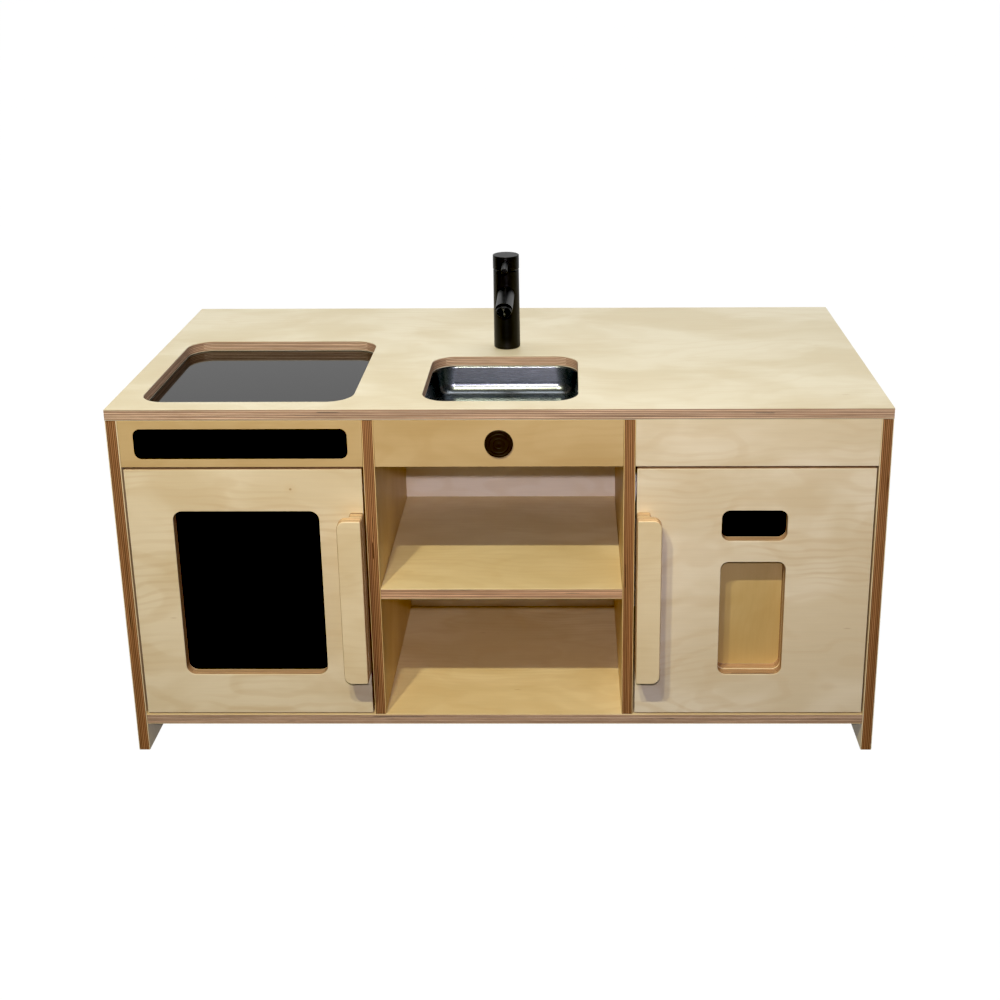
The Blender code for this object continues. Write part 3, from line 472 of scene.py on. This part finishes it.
def bridge(solid, loops):
    """Faces between each ring of points and the next."""
    for lower, upper in zip(loops, loops[1:]):
        count = len(lower)
        for index in range(count):
            after = (index + 1) % count
            corners = list(dict.fromkeys([lower[index], lower[after], upper[after], upper[index]]))
            if len(corners) > 2:
                solid.faces.new(corners)


def lathe(profile, sides=ROUND_STEPS):
    """Turns (radius, height) points, listed from the axis round to the axis, about Z."""
    solid = bmesh.new()
    rings = []
    for radius, height in profile:
        if radius == 0:
            rings.append([solid.verts.new((0, 0, height))] * sides)
            continue
        turns = [2 * math.pi * (step + 0.5) / sides for step in range(sides)]
        rings.append([solid.verts.new((radius * math.cos(t), radius * math.sin(t), height)) for t in turns])
    bridge(solid, rings)
    return solid


def soft_corner(corner, before, after, radius, steps=4):
    """Points that round one corner of a profile."""
    corner, before, after = (Vector(point) for point in (corner, before, after))
    start = corner + (before - corner).normalized() * radius
    end = corner + (after - corner).normalized() * radius
    points = []
    for step in range(steps + 1):
        share = step / steps
        points.append(tuple(start.lerp(corner, share).lerp(corner.lerp(end, share), share)))
    return points


def moved(solid, matrix):
    bmesh.ops.transform(solid, matrix=matrix, verts=solid.verts)
    return solid


def aimed(solid, place, direction):
    """Puts a turned piece's Z axis along a direction, with its origin at a place."""
    turn = Z_AXIS.rotation_difference(Vector(direction).normalized()).to_matrix().to_4x4()
    return moved(solid, Matrix.Translation(place) @ turn)


def drawn_in(solid, across, start):
    """Stands a plate, drawn in the two axes other than across, at start on that axis."""
    if across == 0:
        matrix = Matrix(((0, 0, 1, start), (1, 0, 0, 0), (0, 1, 0, 0), (0, 0, 0, 1)))
    elif across == 1:
        matrix = Matrix(((1, 0, 0, 0), (0, 0, 1, start), (0, 1, 0, 0), (0, 0, 0, 1)))
    else:
        matrix = Matrix.Translation((0, 0, start))
    return moved(solid, matrix)


def joined(solids):
    """Several closed solids as one mesh."""
    whole = bmesh.new()
    for solid in solids:
        mesh = bpy.data.meshes.new("part")
        solid.to_mesh(mesh)
        solid.free()
        whole.from_mesh(mesh)
        bpy.data.meshes.remove(mesh)
    return whole


def piece(name, solid, material, body, slot, *nodes, smooth=True):
    """A finished piece that rides on a body, and stands for the CAD nodes that it is given."""
    bmesh.ops.recalc_face_normals(solid, faces=solid.faces)
    mesh = bpy.data.meshes.new(name)
    solid.to_mesh(mesh)
    solid.free()
    mesh.materials.append(material)
    if smooth:
        mesh.shade_smooth()
        mesh.set_sharp_from_angle(angle=SHARP_ANGLE)
    obj = bpy.data.objects.new(name, mesh)
    bpy.context.scene.collection.objects.link(obj)
    even = obj.modifiers.new("even_shading", "WEIGHTED_NORMAL")
    even.keep_sharp = True
    even.weight = 100
    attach(obj, body)
    if nodes:
        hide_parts(*nodes)
    return obj


def flat(point, across):
    """The two coordinates of a point other than across."""
    return tuple(point[axis] for axis in range(3) if axis != across)


def shrunk(low, high, first, second=None):
    second = first if second is None else second
    return (low[0] + first, low[1] + second), (high[0] - first, high[1] - second)


# Boards. across is the axis through the board, and along the axis of its face grain.


def board(node, body, across, along, holes=(), radii=(0, 0, 0, 0), arris=ARRIS, steps=ARRIS_STEPS, **looks):
    low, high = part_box(node)
    outer = rounded_rectangle(flat(low, across), flat(high, across), radii)
    solid = drawn_in(plate(outer, high[across] - low[across], holes, arris, steps), across, low[across])
    material = birch(f"birch_{node}", (low, high), across, along, **looks)
    return piece(f"{node}_board", solid, material, body, "birch_ply", node)


def worktop():
    hob_low, hob_high = shrunk(*(flat(corner, 2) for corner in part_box("hob_panel")), HOB_LAP)
    sink_low, sink_high = shrunk(*(flat(corner, 2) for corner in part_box("sink_bowl")), BOWL_FLANGE)
    tap = (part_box("tap_stem")[0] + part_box("tap_stem")[1]) / 2
    holes = [
        window(hob_low, hob_high, HOB_RADIUS),
        window(sink_low, sink_high, SINK_RADIUS),
        circle((tap.x, tap.y), TAP_HOLE_RADIUS, inwards=-1),
    ]
    board("worktop", "cabinet", 2, 0, holes, tone=TOP, figure=0.35, seed=3.1, edge=PALE_EDGE)


def cabinet_boards():
    worktop()
    board("left_side_panel", "cabinet", 0, 2, seed=1.0, figure=0.6, edge=BROWN_EDGE)
    board("right_side_panel", "cabinet", 0, 2, seed=2.0, figure=0.6, edge=BROWN_EDGE)
    board("left_divider", "cabinet", 0, 2, seed=5.2, tone=INNER, figure=0.4, edge=BROWN_EDGE)
    board("right_divider", "cabinet", 0, 2, seed=6.3, tone=INNER, figure=0.4, edge=BROWN_EDGE)
    board("bottom_panel", "cabinet", 2, 0, seed=7.7, tone=SHELF, figure=0.6, edge=PALE_EDGE)
    board("centre_shelf", "cabinet", 2, 0, seed=8.1, tone=SHELF, figure=0.4, edge=SHELF_EDGE)
    board("back_panel", "cabinet", 1, 0, seed=9.4, tone=ROSY, figure=0.6)
    board("left_apron", "cabinet", 1, 0, seed=12.5, tone=HONEY, figure=0.4)
    board("centre_apron", "cabinet", 1, 0, seed=10.2, tone=HONEY, figure=0.4)
    board("right_apron", "cabinet", 1, 0, seed=11.9, tone=BLUSH, figure=0.6)


def doors():
    window_low, window_high = shrunk(*(flat(corner, 1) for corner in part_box("oven_window")), WINDOW_LAP)
    board("oven_door", "oven_door", 1, 0, [window(window_low, window_high, WINDOW_RADIUS)], seed=14.3,
          tone=BUTTER, figure=0.8)
    slot_low, slot_high = shrunk(*(flat(c, 1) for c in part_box("slot_panel")), SLOT_BORDER, SLOT_BORDER_SHORT)
    frame_low, frame_high = (flat(corner, 1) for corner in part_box("recess_frame"))
    recess_low, recess_high = shrunk(frame_low, frame_high, SLOT_BORDER, SLOT_BORDER_SHORT)
    holes = [window(slot_low, slot_high, SLOT_RADIUS), window(recess_low, recess_high, SLOT_RADIUS)]
    board("fridge_door", "fridge_door", 1, 0, holes, seed=21.6, tone=BLUSH, figure=0.8)
    board("recess_frame", "fridge_door", 1, 0, [holes[1]], seed=17.0)
    board("recess_back", "fridge_door", 1, 2, seed=18.0, tone=AMBER, figure=0.3)


def handles():
    for prefix, radii in (("oven", (1, 0, 0, 1)), ("fridge", (0, 1, 1, 0))):
        corners = [GRIP_RADIUS if soft else GRIP_EDGE_RADIUS for soft in radii]
        board(f"{prefix}_handle_grip", f"{prefix}_door", 1, 0, (), corners, GRIP_ROUND_OVER, 6,
              seed=25.0 + 3 * radii[0], tone=GRIP, figure=0.35, edge=GRIP_EDGE, skin=0.35)
        board(f"{prefix}_handle_spacer", f"{prefix}_door", 1, 0, (), (GRIP_EDGE_RADIUS,) * 4, 0, 1,
              seed=29.0 + 3 * radii[0], tone=GRIP, figure=0.35, edge=GRIP_EDGE)


cabinet_boards()
doors()
handles()


# Acrylic


def acrylic_panel(node, body, across, radius, material):
    low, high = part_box(node)
    outer = rounded_rectangle(flat(low, across), flat(high, across), (radius,) * 4)
    solid = drawn_in(plate(outer, high[across] - low[across], (), ACRYLIC_ARRIS), across, low[across])
    piece(f"{node}_sheet", solid, material, body, "black_acrylic", node)


acrylic_panel("hob_panel", "cabinet", 2, HOB_LAP, ACRYLIC_GLOSS)
acrylic_panel("control_strip", "cabinet", 1, STRIP_RADIUS, ACRYLIC_DEEP)
acrylic_panel("oven_window", "oven_door", 1, WINDOW_RADIUS, ACRYLIC_DEEP)
acrylic_panel("slot_panel", "fridge_door", 1, ACRYLIC_CORNER, ACRYLIC_DEEP)

# Turned and pressed parts

BADGE_RIM = 0.0028
BADGE_RINGS = (0.0150, 0.0080)
STITCH_COUNT = 36
STITCH_REACH = 0.0172
STITCH_RADIUS = 0.00045
STITCH_PROFILE = ((0, 0), (STITCH_RADIUS, 0), (STITCH_RADIUS, 0.0003), (0.0002, 0.0005), (0, 0.00055))
TAP_ROUND = 0.0008
STEM_BORE = 0.0153
STEM_DEPTH = 0.0183
STUD_BORE = 0.0043
SPOUT_MITRE = math.radians(36)
SPOUT_DROP = math.radians(3)
SPOUT_REACH = 0.112
SPIGOT_RADIUS = 0.0088
SPIGOT_DEPTH = 0.0085
AERATOR_HEIGHT = 0.0065
AERATOR_RINGS = (0.0078, 0.0060, 0.0042, 0.0024)
LIFT_SLOPE = math.radians(14)
SHEET = 0.0012
BOWL_FILLET = 0.020
BOWL_DRAFT = 0.004
BOWL_LIP = 0.003
LIP_STEPS = 6


def centre(node):
    low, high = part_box(node)
    return (low + high) / 2


def badge():
    """A pressed disc with a raised rim, a ring of stitches and two plain rings."""
    low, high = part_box("badge")
    radius = (high.x - low.x) / 2
    top = high.y - low.y
    sunk = top - 0.0007
    middle = centre("badge")
    profile = [(0, 0), (radius, 0), (radius, top - 0.0008), (radius - 0.0003, top - 0.0002)]
    profile += [(radius - 0.0009, top), (radius - BADGE_RIM, top), (radius - BADGE_RIM - 0.0007, sunk)]
    for ring in BADGE_RINGS:
        profile += [(ring + 0.0012, sunk), (ring + 0.0005, top - 0.0001), (ring - 0.0005, top - 0.0001),
                    (ring - 0.0012, sunk)]
    profile += [(0.0028, sunk), (0.0016, top - 0.0002), (0, top - 0.0001)]
    solids = [aimed(lathe(profile), (middle.x, high.y, middle.z), -Y_AXIS)]
    for step in range(STITCH_COUNT):
        turn = 2 * math.pi * step / STITCH_COUNT
        stitch = lathe(STITCH_PROFILE, 10)
        x = middle.x + STITCH_REACH * math.cos(turn)
        z = middle.z + STITCH_REACH * math.sin(turn)
        solids.append(aimed(stitch, (x, low.y + 0.0007, z), -Y_AXIS))
    piece("badge_disc", joined(solids), LEATHER, "cabinet", "dark_leather", "badge")


def sink_ring(solid, grow, radius, height):
    """A ring of points at one height, grown outwards from the bowl's mouth."""
    corners = (flat(corner, 2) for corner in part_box("sink_bowl"))
    outline = rounded_rectangle(*shrunk(*corners, BOWL_FLANGE - grow), (radius,) * 4)
    return [solid.verts.new((x, y, height)) for x, y in outline(0)]


def sink():
    """A pressed bowl: flat floor, filleted walls with a little draft, and a lip under the worktop."""
    low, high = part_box("sink_bowl")
    floor_top = low.z + SHEET
    solid = bmesh.new()
    skins = []
    for skin in (0, SHEET):
        rings = []
        fillet = BOWL_FILLET + skin
        corner = SINK_RADIUS - BOWL_DRAFT
        for step in range(CORNER_STEPS + 1):
            angle = math.pi / 2 * step / CORNER_STEPS
            grow = fillet * math.sin(angle) - BOWL_DRAFT - BOWL_FILLET
            height = floor_top + BOWL_FILLET - fillet * math.cos(angle)
            rings.append(sink_ring(solid, grow, corner + grow, height))
        lip = BOWL_LIP - skin
        for step in range(LIP_STEPS + 1):
            angle = math.pi / 2 * step / LIP_STEPS
            grow = BOWL_LIP - lip * math.cos(angle)
            height = high.z - BOWL_LIP + lip * math.sin(angle)
            rings.append(sink_ring(solid, grow, SINK_RADIUS + grow, height))
        rings.append(sink_ring(solid, BOWL_FLANGE, SINK_RADIUS + BOWL_FLANGE, high.z - skin))
        skins.append(rings)
    bridge(solid, skins[0] + skins[1][::-1])
    solid.faces.new(reversed(skins[0][0]))
    solid.faces.new(skins[1][0])
    piece("sink_pressing", solid, STEEL_SATIN, "cabinet", "stainless_steel", "sink_bowl")


def tap_body():
    low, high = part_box("tap_body")
    middle = centre("tap_body")
    base = (high.x - low.x) / 2
    top = base - 0.0007
    stud_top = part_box("tap_stud")[1].z
    profile = [(0, stud_top), (STUD_BORE, stud_top), (STUD_BORE, low.z)]
    profile += soft_corner((base, low.z), (0, low.z), (top, high.z), TAP_ROUND)
    profile += soft_corner((top, high.z), (base, low.z), (0, high.z), TAP_ROUND)
    profile += [(STEM_BORE, high.z), (STEM_BORE, high.z - STEM_DEPTH), (0, high.z - STEM_DEPTH)]
    body = moved(lathe(profile, 128), Matrix.Translation((middle.x, middle.y, 0)))
    piece("tap_column", body, BLACK_COAT, "cabinet", "black_coating", "tap_body")


def spokes(reach, up):
    """Vectors to a ring of points in the plane of the X axis and up."""
    turns = [2 * math.pi * step / ROUND_STEPS for step in range(ROUND_STEPS)]
    return [X_AXIS * (reach * math.cos(turn)) + up * (reach * math.sin(turn)) for turn in turns]


def tap_spout():
    """A tube cut off at a slant, with a round socket for the aerator in the slanted face."""
    low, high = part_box("tap_spout")
    radius = (high.x - low.x) / 2
    middle = centre("tap_body")
    along = Vector((0, -math.cos(SPOUT_DROP), -math.sin(SPOUT_DROP)))
    outwards = Vector((0, -math.cos(SPOUT_MITRE), -math.sin(SPOUT_MITRE)))
    up = along.cross(X_AXIS).normalized()
    up = up if up.z > 0 else -up
    root = Vector((middle.x, high.y, high.z - radius / math.cos(SPOUT_DROP)))
    tip = root + along * (SPOUT_REACH - radius * math.tan(SPOUT_MITRE) - (middle.y - high.y))
    solid = bmesh.new()

    def tube_ring(reach, back):
        points = []
        for spoke in spokes(reach, up):
            rest = -spoke.dot(outwards) / along.dot(outwards)
            points.append(solid.verts.new(tip + spoke + along * (rest - back)))
        return points

    def socket_ring(reach, back):
        side = outwards.cross(X_AXIS).normalized()
        side = side if side.z > 0 else -side
        return [solid.verts.new(tip + spoke - outwards * back) for spoke in spokes(reach, side)]

    loops = [[solid.verts.new(root + spoke) for spoke in spokes(radius, up)]]
    for step in range(5):
        angle = math.pi / 2 * step / 4
        loops.append(tube_ring(radius - TAP_ROUND * (1 - math.cos(angle)), TAP_ROUND * (1 - math.sin(angle))))
    loops += [socket_ring(SPIGOT_RADIUS, 0), socket_ring(SPIGOT_RADIUS, SPIGOT_DEPTH)]
    bridge(solid, loops)
    solid.faces.new(loops[0])
    solid.faces.new(loops[-1])
    piece("tap_spout_tube", solid, BLACK_COAT, "cabinet", "black_coating", "tap_spout")
    tap_aerator(tip, outwards)


def tap_aerator(tip, outwards):
    """A short nozzle in the spout's socket, with rings in its mouth."""
    outer = (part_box("tap_aerator")[1].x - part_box("tap_aerator")[0].x) / 2
    shank = SPIGOT_RADIUS - 0.0003
    profile = [(0, 0.0003 - SPIGOT_DEPTH), (shank, 0.0003 - SPIGOT_DEPTH), (shank, 0.0003), (outer, 0.0003)]
    profile += soft_corner((outer, AERATOR_HEIGHT), (outer, 0), (0, AERATOR_HEIGHT), 0.0008)
    face = AERATOR_HEIGHT - 0.0014
    groove = AERATOR_HEIGHT - 0.0022
    profile += [(outer - 0.0030, AERATOR_HEIGHT), (outer - 0.0032, face)]
    for ring in AERATOR_RINGS:
        profile += [(ring, face), (ring - 0.0004, groove), (ring - 0.0009, groove), (ring - 0.0013, face)]
    profile.append((0, face))
    piece("tap_aerator_ring", aimed(lathe(profile), tip, outwards), BLACK_COAT, "cabinet", "black_coating",
          "tap_aerator")


def tap_handle():
    """The cap, whose underside slopes up behind the line it lifts about, and its lever."""
    low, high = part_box("tap_cap")
    middle = centre("tap_cap")
    radius = (high.x - low.x) / 2
    profile = [(0, low.z)]
    profile += soft_corner((radius, low.z), (0, low.z), (radius, high.z), TAP_ROUND)
    profile += soft_corner((radius, high.z), (radius, low.z), (0, high.z), 0.0011)
    profile.append((0, high.z))
    cap = moved(lathe(profile, 128), Matrix.Translation((middle.x, middle.y, 0)))
    for vertex in cap.verts:
        behind = vertex.co.y - middle.y
        if behind > 0 and vertex.co.z < low.z + 0.0015:
            vertex.co.z += behind * math.tan(LIFT_SLOPE)
    piece("tap_cap_turned", cap, BLACK_COAT, "tap_handle", "black_coating", "tap_cap")
    low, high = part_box("tap_lever")
    radius = (high.x - low.x) / 2
    length = high.y - low.y
    profile = [(0, 0), (radius, 0)]
    profile += soft_corner((radius, length), (radius, 0), (0, length), 0.0014)
    profile.append((0, length))
    pin = aimed(lathe(profile, 64), (centre("tap_lever").x, high.y, centre("tap_lever").z), -Y_AXIS)
    piece("tap_lever_pin", pin, BLACK_COAT, "tap_handle", "black_coating", "tap_lever")


badge()
sink()
tap_body()
tap_spout()
tap_handle()


# Hardware

HARDWARE_BEVEL = 0.0003
SCREW_HEAD = 0.0032
SCREW_HEIGHT = 0.0009
SCREW_SIDES = 48

# A screw head's outline from its rim inwards, as shares of its radius and height
SCREW_DOME = ((1.0, 0.0), (1.0, 0.35), (0.93, 0.62), (0.80, 0.80), (0.62, 0.92), (0.50, 0.96), (0.36, 0.99),
              (0.24, 1.0), (0.12, 1.0))


def screw(place, towards, radius=SCREW_HEAD, height=SCREW_HEIGHT):
    """The head of a cross-recess screw, seated at a place and facing out along towards."""
    solid = bmesh.new()
    arm = radius * 0.13
    rings = []
    for share, level in SCREW_DOME:
        ring = []
        for step in range(SCREW_SIDES):
            turn = 2 * math.pi * (step + 0.5) / SCREW_SIDES
            x = radius * share * math.cos(turn)
            y = radius * share * math.sin(turn)
            recessed = share < 0.6 and min(abs(x), abs(y)) < arm
            sunk = 0.75 * height if recessed else 0.0
            ring.append(solid.verts.new((x, y, height * level - sunk)))
        rings.append(ring)
    bridge(solid, rings)
    solid.faces.new(rings[0])
    tip = solid.verts.new((0, 0, height * 0.25))
    for index in range(SCREW_SIDES):
        solid.faces.new((rings[-1][index], rings[-1][(index + 1) % SCREW_SIDES], tip))
    return aimed(solid, place, towards)


def cabinet_screws():
    solids = []
    for prefix, side in (("oven", -1), ("fridge", 1)):
        for end in ("lower", "upper"):
            low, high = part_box(f"{prefix}_hinge_arm_{end}")
            middle = (low + high) / 2
            wall = high.x if side > 0 else low.x
            for step in (-0.0165, 0.0165):
                solids.append(screw((wall - side * 0.003, high.y - 0.024, middle.z + step), (-side, 0, 0)))
        low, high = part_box(f"{prefix}_catch")
        wall = low.x if side > 0 else high.x
        for z in (low.z + 0.0055, high.z - 0.0055):
            solids.append(screw((wall + side * 0.002, (low.y + high.y) / 2, z), (side, 0, 0), 0.0028))
    for hand, side in (("left", -1), ("right", 1)):
        for end in ("front", "rear"):
            low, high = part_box(f"sink_clip_{hand}_{end}")
            outer = high.x if side > 0 else low.x
            solids.append(screw((outer - side * 0.0062, (low.y + high.y) / 2, high.z - SHEET), -Z_AXIS))
            low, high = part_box(f"worktop_bracket_{hand}_{end}")
            inner = low.x if side > 0 else high.x
            wall = high.x if side > 0 else low.x
            for step in (-0.008, 0.008):
                y = (low.y + high.y) / 2 + step
                solids.append(screw((inner + side * 0.0062, y, high.z - 0.0015), -Z_AXIS, 0.0027))
                solids.append(screw((wall - side * 0.0015, y, low.z + 0.0062), (-side, 0, 0), 0.0027))
    piece("cabinet_screws", joined(solids), STEEL_ZINC, "cabinet", "plated_steel")


def panel_screws(node, inset, columns, rows):
    """Screws round the border of a panel that is fixed to the back of a door."""
    low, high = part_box(node)
    solids = []
    for column in range(columns):
        for row in range(rows):
            if 0 < column < columns - 1 and 0 < row < rows - 1:
                continue
            x = low.x + inset + (high.x - low.x - 2 * inset) * column / (columns - 1)
            z = low.z + inset + (high.z - low.z - 2 * inset) * row / (rows - 1)
            solids.append(screw((x, high.y, z), Y_AXIS, 0.003))
    return solids


def door_screws(prefix):
    solids = []
    for end in ("lower", "upper"):
        low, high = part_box(f"{prefix}_hinge_cup_{end}")
        for z in (low.z + 0.0048, high.z - 0.0048):
            solids.append(screw(((low.x + high.x) / 2, high.y, z), Y_AXIS, 0.003))
    low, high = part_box(f"{prefix}_strike_plate")
    for z in (low.z + 0.006, high.z - 0.006):
        solids.append(screw(((low.x + high.x) / 2, high.y - 0.0006, z), Y_AXIS, 0.0024, 0.0007))
    return solids


def all_screws():
    cabinet_screws()
    oven = door_screws("oven") + panel_screws("oven_window", 0.009, 3, 3)
    piece("oven_door_screws", joined(oven), STEEL_ZINC, "oven_door", "plated_steel")
    fridge = door_screws("fridge") + panel_screws("slot_panel", 0.010, 3, 2)
    fridge += panel_screws("recess_back", 0.012, 2, 3)
    piece("fridge_door_screws", joined(fridge), STEEL_ZINC, "fridge_door", "plated_steel")


def dress_hardware():
    """Small CAD parts keep their shape, with their edges broken."""
    replaced = {"tap_body", "tap_spout", "tap_aerator", "tap_cap", "tap_lever", "badge", "sink_bowl"}
    looks = {"tap_base_seal": RUBBER, "tap_gasket": RUBBER, "oven_catch": PLASTIC, "fridge_catch": PLASTIC}
    for node, obj in frame["nodes"].items():
        if node in replaced or obj.hide_render:
            continue
        for slot in obj.material_slots:
            slot.material = looks.get(node, STEEL_PLATED)
        if obj.type == "MESH" and "screw" not in node:
            edge = obj.modifiers.new("broken_edges", "BEVEL")
            edge.width = HARDWARE_BEVEL
            edge.segments = 2
            edge.limit_method = "ANGLE"
            edge.angle_limit = SHARP_ANGLE


all_screws()
dress_hardware()


# Floor, lights and camera

FLOOR_REACH = 40.0


def floor():
    """A disc that shows white and neither lights nor reflects in the object."""
    solid = bmesh.new()
    rim = [solid.verts.new((x, y, 0)) for x, y in circle((0, 0), FLOOR_REACH)(0)]
    solid.faces.new(rim)
    mesh = bpy.data.meshes.new("studio_floor")
    solid.to_mesh(mesh)
    solid.free()
    graph = Graph("white_floor", roughness=0.9, specular=0.0)
    graph.shader.inputs["Base Color"].default_value = (0.02, 0.02, 0.02, 1)
    graph.shader.inputs["Emission Color"].default_value = (1, 1, 1, 1)
    graph.shader.inputs["Emission Strength"].default_value = 1.0
    mesh.materials.append(graph.material)
    obj = bpy.data.objects.new("studio_floor", mesh)
    bpy.context.scene.collection.objects.link(obj)
    obj.visible_diffuse = False
    obj.visible_glossy = False
    obj.visible_shadow = False


SKY_ABOVE = 0.19
SKY_BELOW = 0.02
BACKDROP = 0.70
ROOM = 0.05


def blend(tree, factor, first, second):
    node = tree.nodes.new("ShaderNodeMix")
    node.data_type = "FLOAT"
    for socket, value in zip((node.inputs[0], node.inputs[2], node.inputs[3]), (factor, first, second)):
        if isinstance(value, bpy.types.NodeSocket):
            tree.links.new(value, socket)
        else:
            socket.default_value = value
    return node.outputs[0]


def ramp(tree, value, low, high):
    node = tree.nodes.new("ShaderNodeMapRange")
    node.interpolation_type = "SMOOTHSTEP"
    node.inputs["From Min"].default_value = low
    node.inputs["From Max"].default_value = high
    tree.links.new(value, node.inputs["Value"])
    return node.outputs[0]


def world():
    """White to the camera. The object gets soft light from above, and mirrors a bright backdrop behind it."""
    made = bpy.data.worlds.new("studio")
    bpy.context.scene.world = made
    made.use_nodes = True
    tree = made.node_tree
    background = tree.nodes["Background"]
    path = tree.nodes.new("ShaderNodeLightPath")
    place = tree.nodes.new("ShaderNodeTexCoord")
    split = tree.nodes.new("ShaderNodeSeparateXYZ")
    tree.links.new(place.outputs["Generated"], split.inputs[0])
    soft = blend(tree, ramp(tree, split.outputs[2], -0.05, 0.30), SKY_BELOW, SKY_ABOVE)
    mirrored = blend(tree, ramp(tree, split.outputs[1], 0.0, 0.6), ROOM, BACKDROP)
    lit = blend(tree, path.outputs["Is Glossy Ray"], soft, mirrored)
    shown = blend(tree, path.outputs["Is Camera Ray"], lit, 1.0)
    tree.links.new(shown, background.inputs["Strength"])
    background.inputs["Color"].default_value = (1, 1, 1, 1)


def area_light(name, place, target, size, power, colour=(1, 1, 1)):
    data = bpy.data.lights.new(name, "AREA")
    data.shape = "RECTANGLE"
    data.size, data.size_y = size
    data.energy = power
    data.color = colour
    obj = bpy.data.objects.new(name, data)
    obj.location = place
    obj.rotation_euler = (Vector(target) - Vector(place)).to_track_quat("-Z", "Y").to_euler()
    bpy.context.scene.collection.objects.link(obj)
    return obj


LAMP_AHEAD = 1.75
LAMP_HEIGHT = 2.69
LAMP_SIZE = (0.12, 0.05)
LAMP_TILT = math.radians(38.5)
LAMP_COLOUR = (1.0, 0.935, 0.62)
LAMPS = (("ceiling_lamp_left", -0.727, 34), ("ceiling_lamp_right", -0.287, 26))
OVERHEAD_COLOUR = (0.97, 0.98, 1.0)
FLASH_COLOUR = (1.0, 0.90, 1.04)
FILL_COLOUR = (1.0, 0.98, 0.95)

# Name, place, size and power of each fill
FILLS = (("fill_behind", (0, 2.7, 1.2), (2.6, 1.6), 24), ("fill_left", (-2.7, 0.5, 0.8), (1.6, 1.4), 15),
         ("fill_right", (2.7, 0.5, 0.8), (1.6, 1.4), 15))


def lights():
    """Two warm ceiling lamps in front, soft light overhead, a small flash by the camera, and dim fills
    behind and beside the object."""
    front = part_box("oven_door")[0].y
    spare = bpy.data.collections.new("casts_no_lamp_shadow")
    for name in ("tap_column", "tap_spout_tube", "tap_aerator_ring", "tap_cap_turned", "tap_lever_pin"):
        spare.objects.link(bpy.data.objects[name])
    for node in ("tap_stem", "tap_base_seal"):
        spare.objects.link(frame["nodes"][node])
    for item in spare.collection_objects:
        item.light_linking.link_state = "EXCLUDE"
    for name, x, power in LAMPS:
        place = (x, front - LAMP_AHEAD, LAMP_HEIGHT)
        lamp = area_light(name, place, (0, front, 0.30), LAMP_SIZE, power, LAMP_COLOUR)
        lamp.rotation_euler = (LAMP_TILT, 0, 0)
        lamp.light_linking.blocker_collection = spare
    area_light("overhead", (0.1, 0.5, 2.6), (0, 0, 0.6), (2.4, 1.2), 22, OVERHEAD_COLOUR)
    area_light("camera_flash", (0.109, front - 2.0, 1.38), (0, front, 0.35), (0.07, 0.04), 22, FLASH_COLOUR)
    for name, place, size, power in FILLS:
        lamp = area_light(name, place, (0, 0.1, 0.40), size, power, FILL_COLOUR)
        lamp.visible_glossy = False


CAMERA_LENS = 50.51
CAMERA_SHIFT = (-0.0551, -0.12985)
CAMERA_RIGHT = 0.1089
CAMERA_AHEAD = 2.0102
CAMERA_HEIGHT = 1.2762
CAMERA_YAW = -0.0110
CAMERA_PITCH = 0.3015
CAMERA_ROLL = -0.0059
BLACK_LEVEL = 0.014


def camera():
    """Where the reference view is taken from: in front, a little to the right, looking down."""
    data = bpy.data.cameras.new("view_camera")
    data.lens = CAMERA_LENS
    data.shift_x, data.shift_y = CAMERA_SHIFT
    obj = bpy.data.objects.new("view_camera", data)
    level = math.cos(CAMERA_PITCH)
    ahead = Vector((math.sin(CAMERA_YAW) * level, math.cos(CAMERA_YAW) * level, -math.sin(CAMERA_PITCH)))
    flat_right = Vector((math.cos(CAMERA_YAW), -math.sin(CAMERA_YAW), 0))
    flat_up = flat_right.cross(ahead)
    right = flat_right * math.cos(CAMERA_ROLL) + flat_up * math.sin(CAMERA_ROLL)
    up = flat_up * math.cos(CAMERA_ROLL) - flat_right * math.sin(CAMERA_ROLL)
    turn = Matrix((right, up, -ahead)).transposed().to_4x4()
    place = (CAMERA_RIGHT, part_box("oven_door")[0].y - CAMERA_AHEAD, CAMERA_HEIGHT)
    obj.matrix_world = Matrix.Translation(place) @ turn
    bpy.context.scene.collection.objects.link(obj)
    bpy.context.scene.camera = obj


def grading():
    """Plain display colours with slightly deeper blacks."""
    view = bpy.context.scene.view_settings
    view.view_transform = "Standard"
    view.use_curve_mapping = True
    view.curve_mapping.black_level = (BLACK_LEVEL,) * 3
    view.curve_mapping.update()


floor()
world()
lights()
camera()
grading()
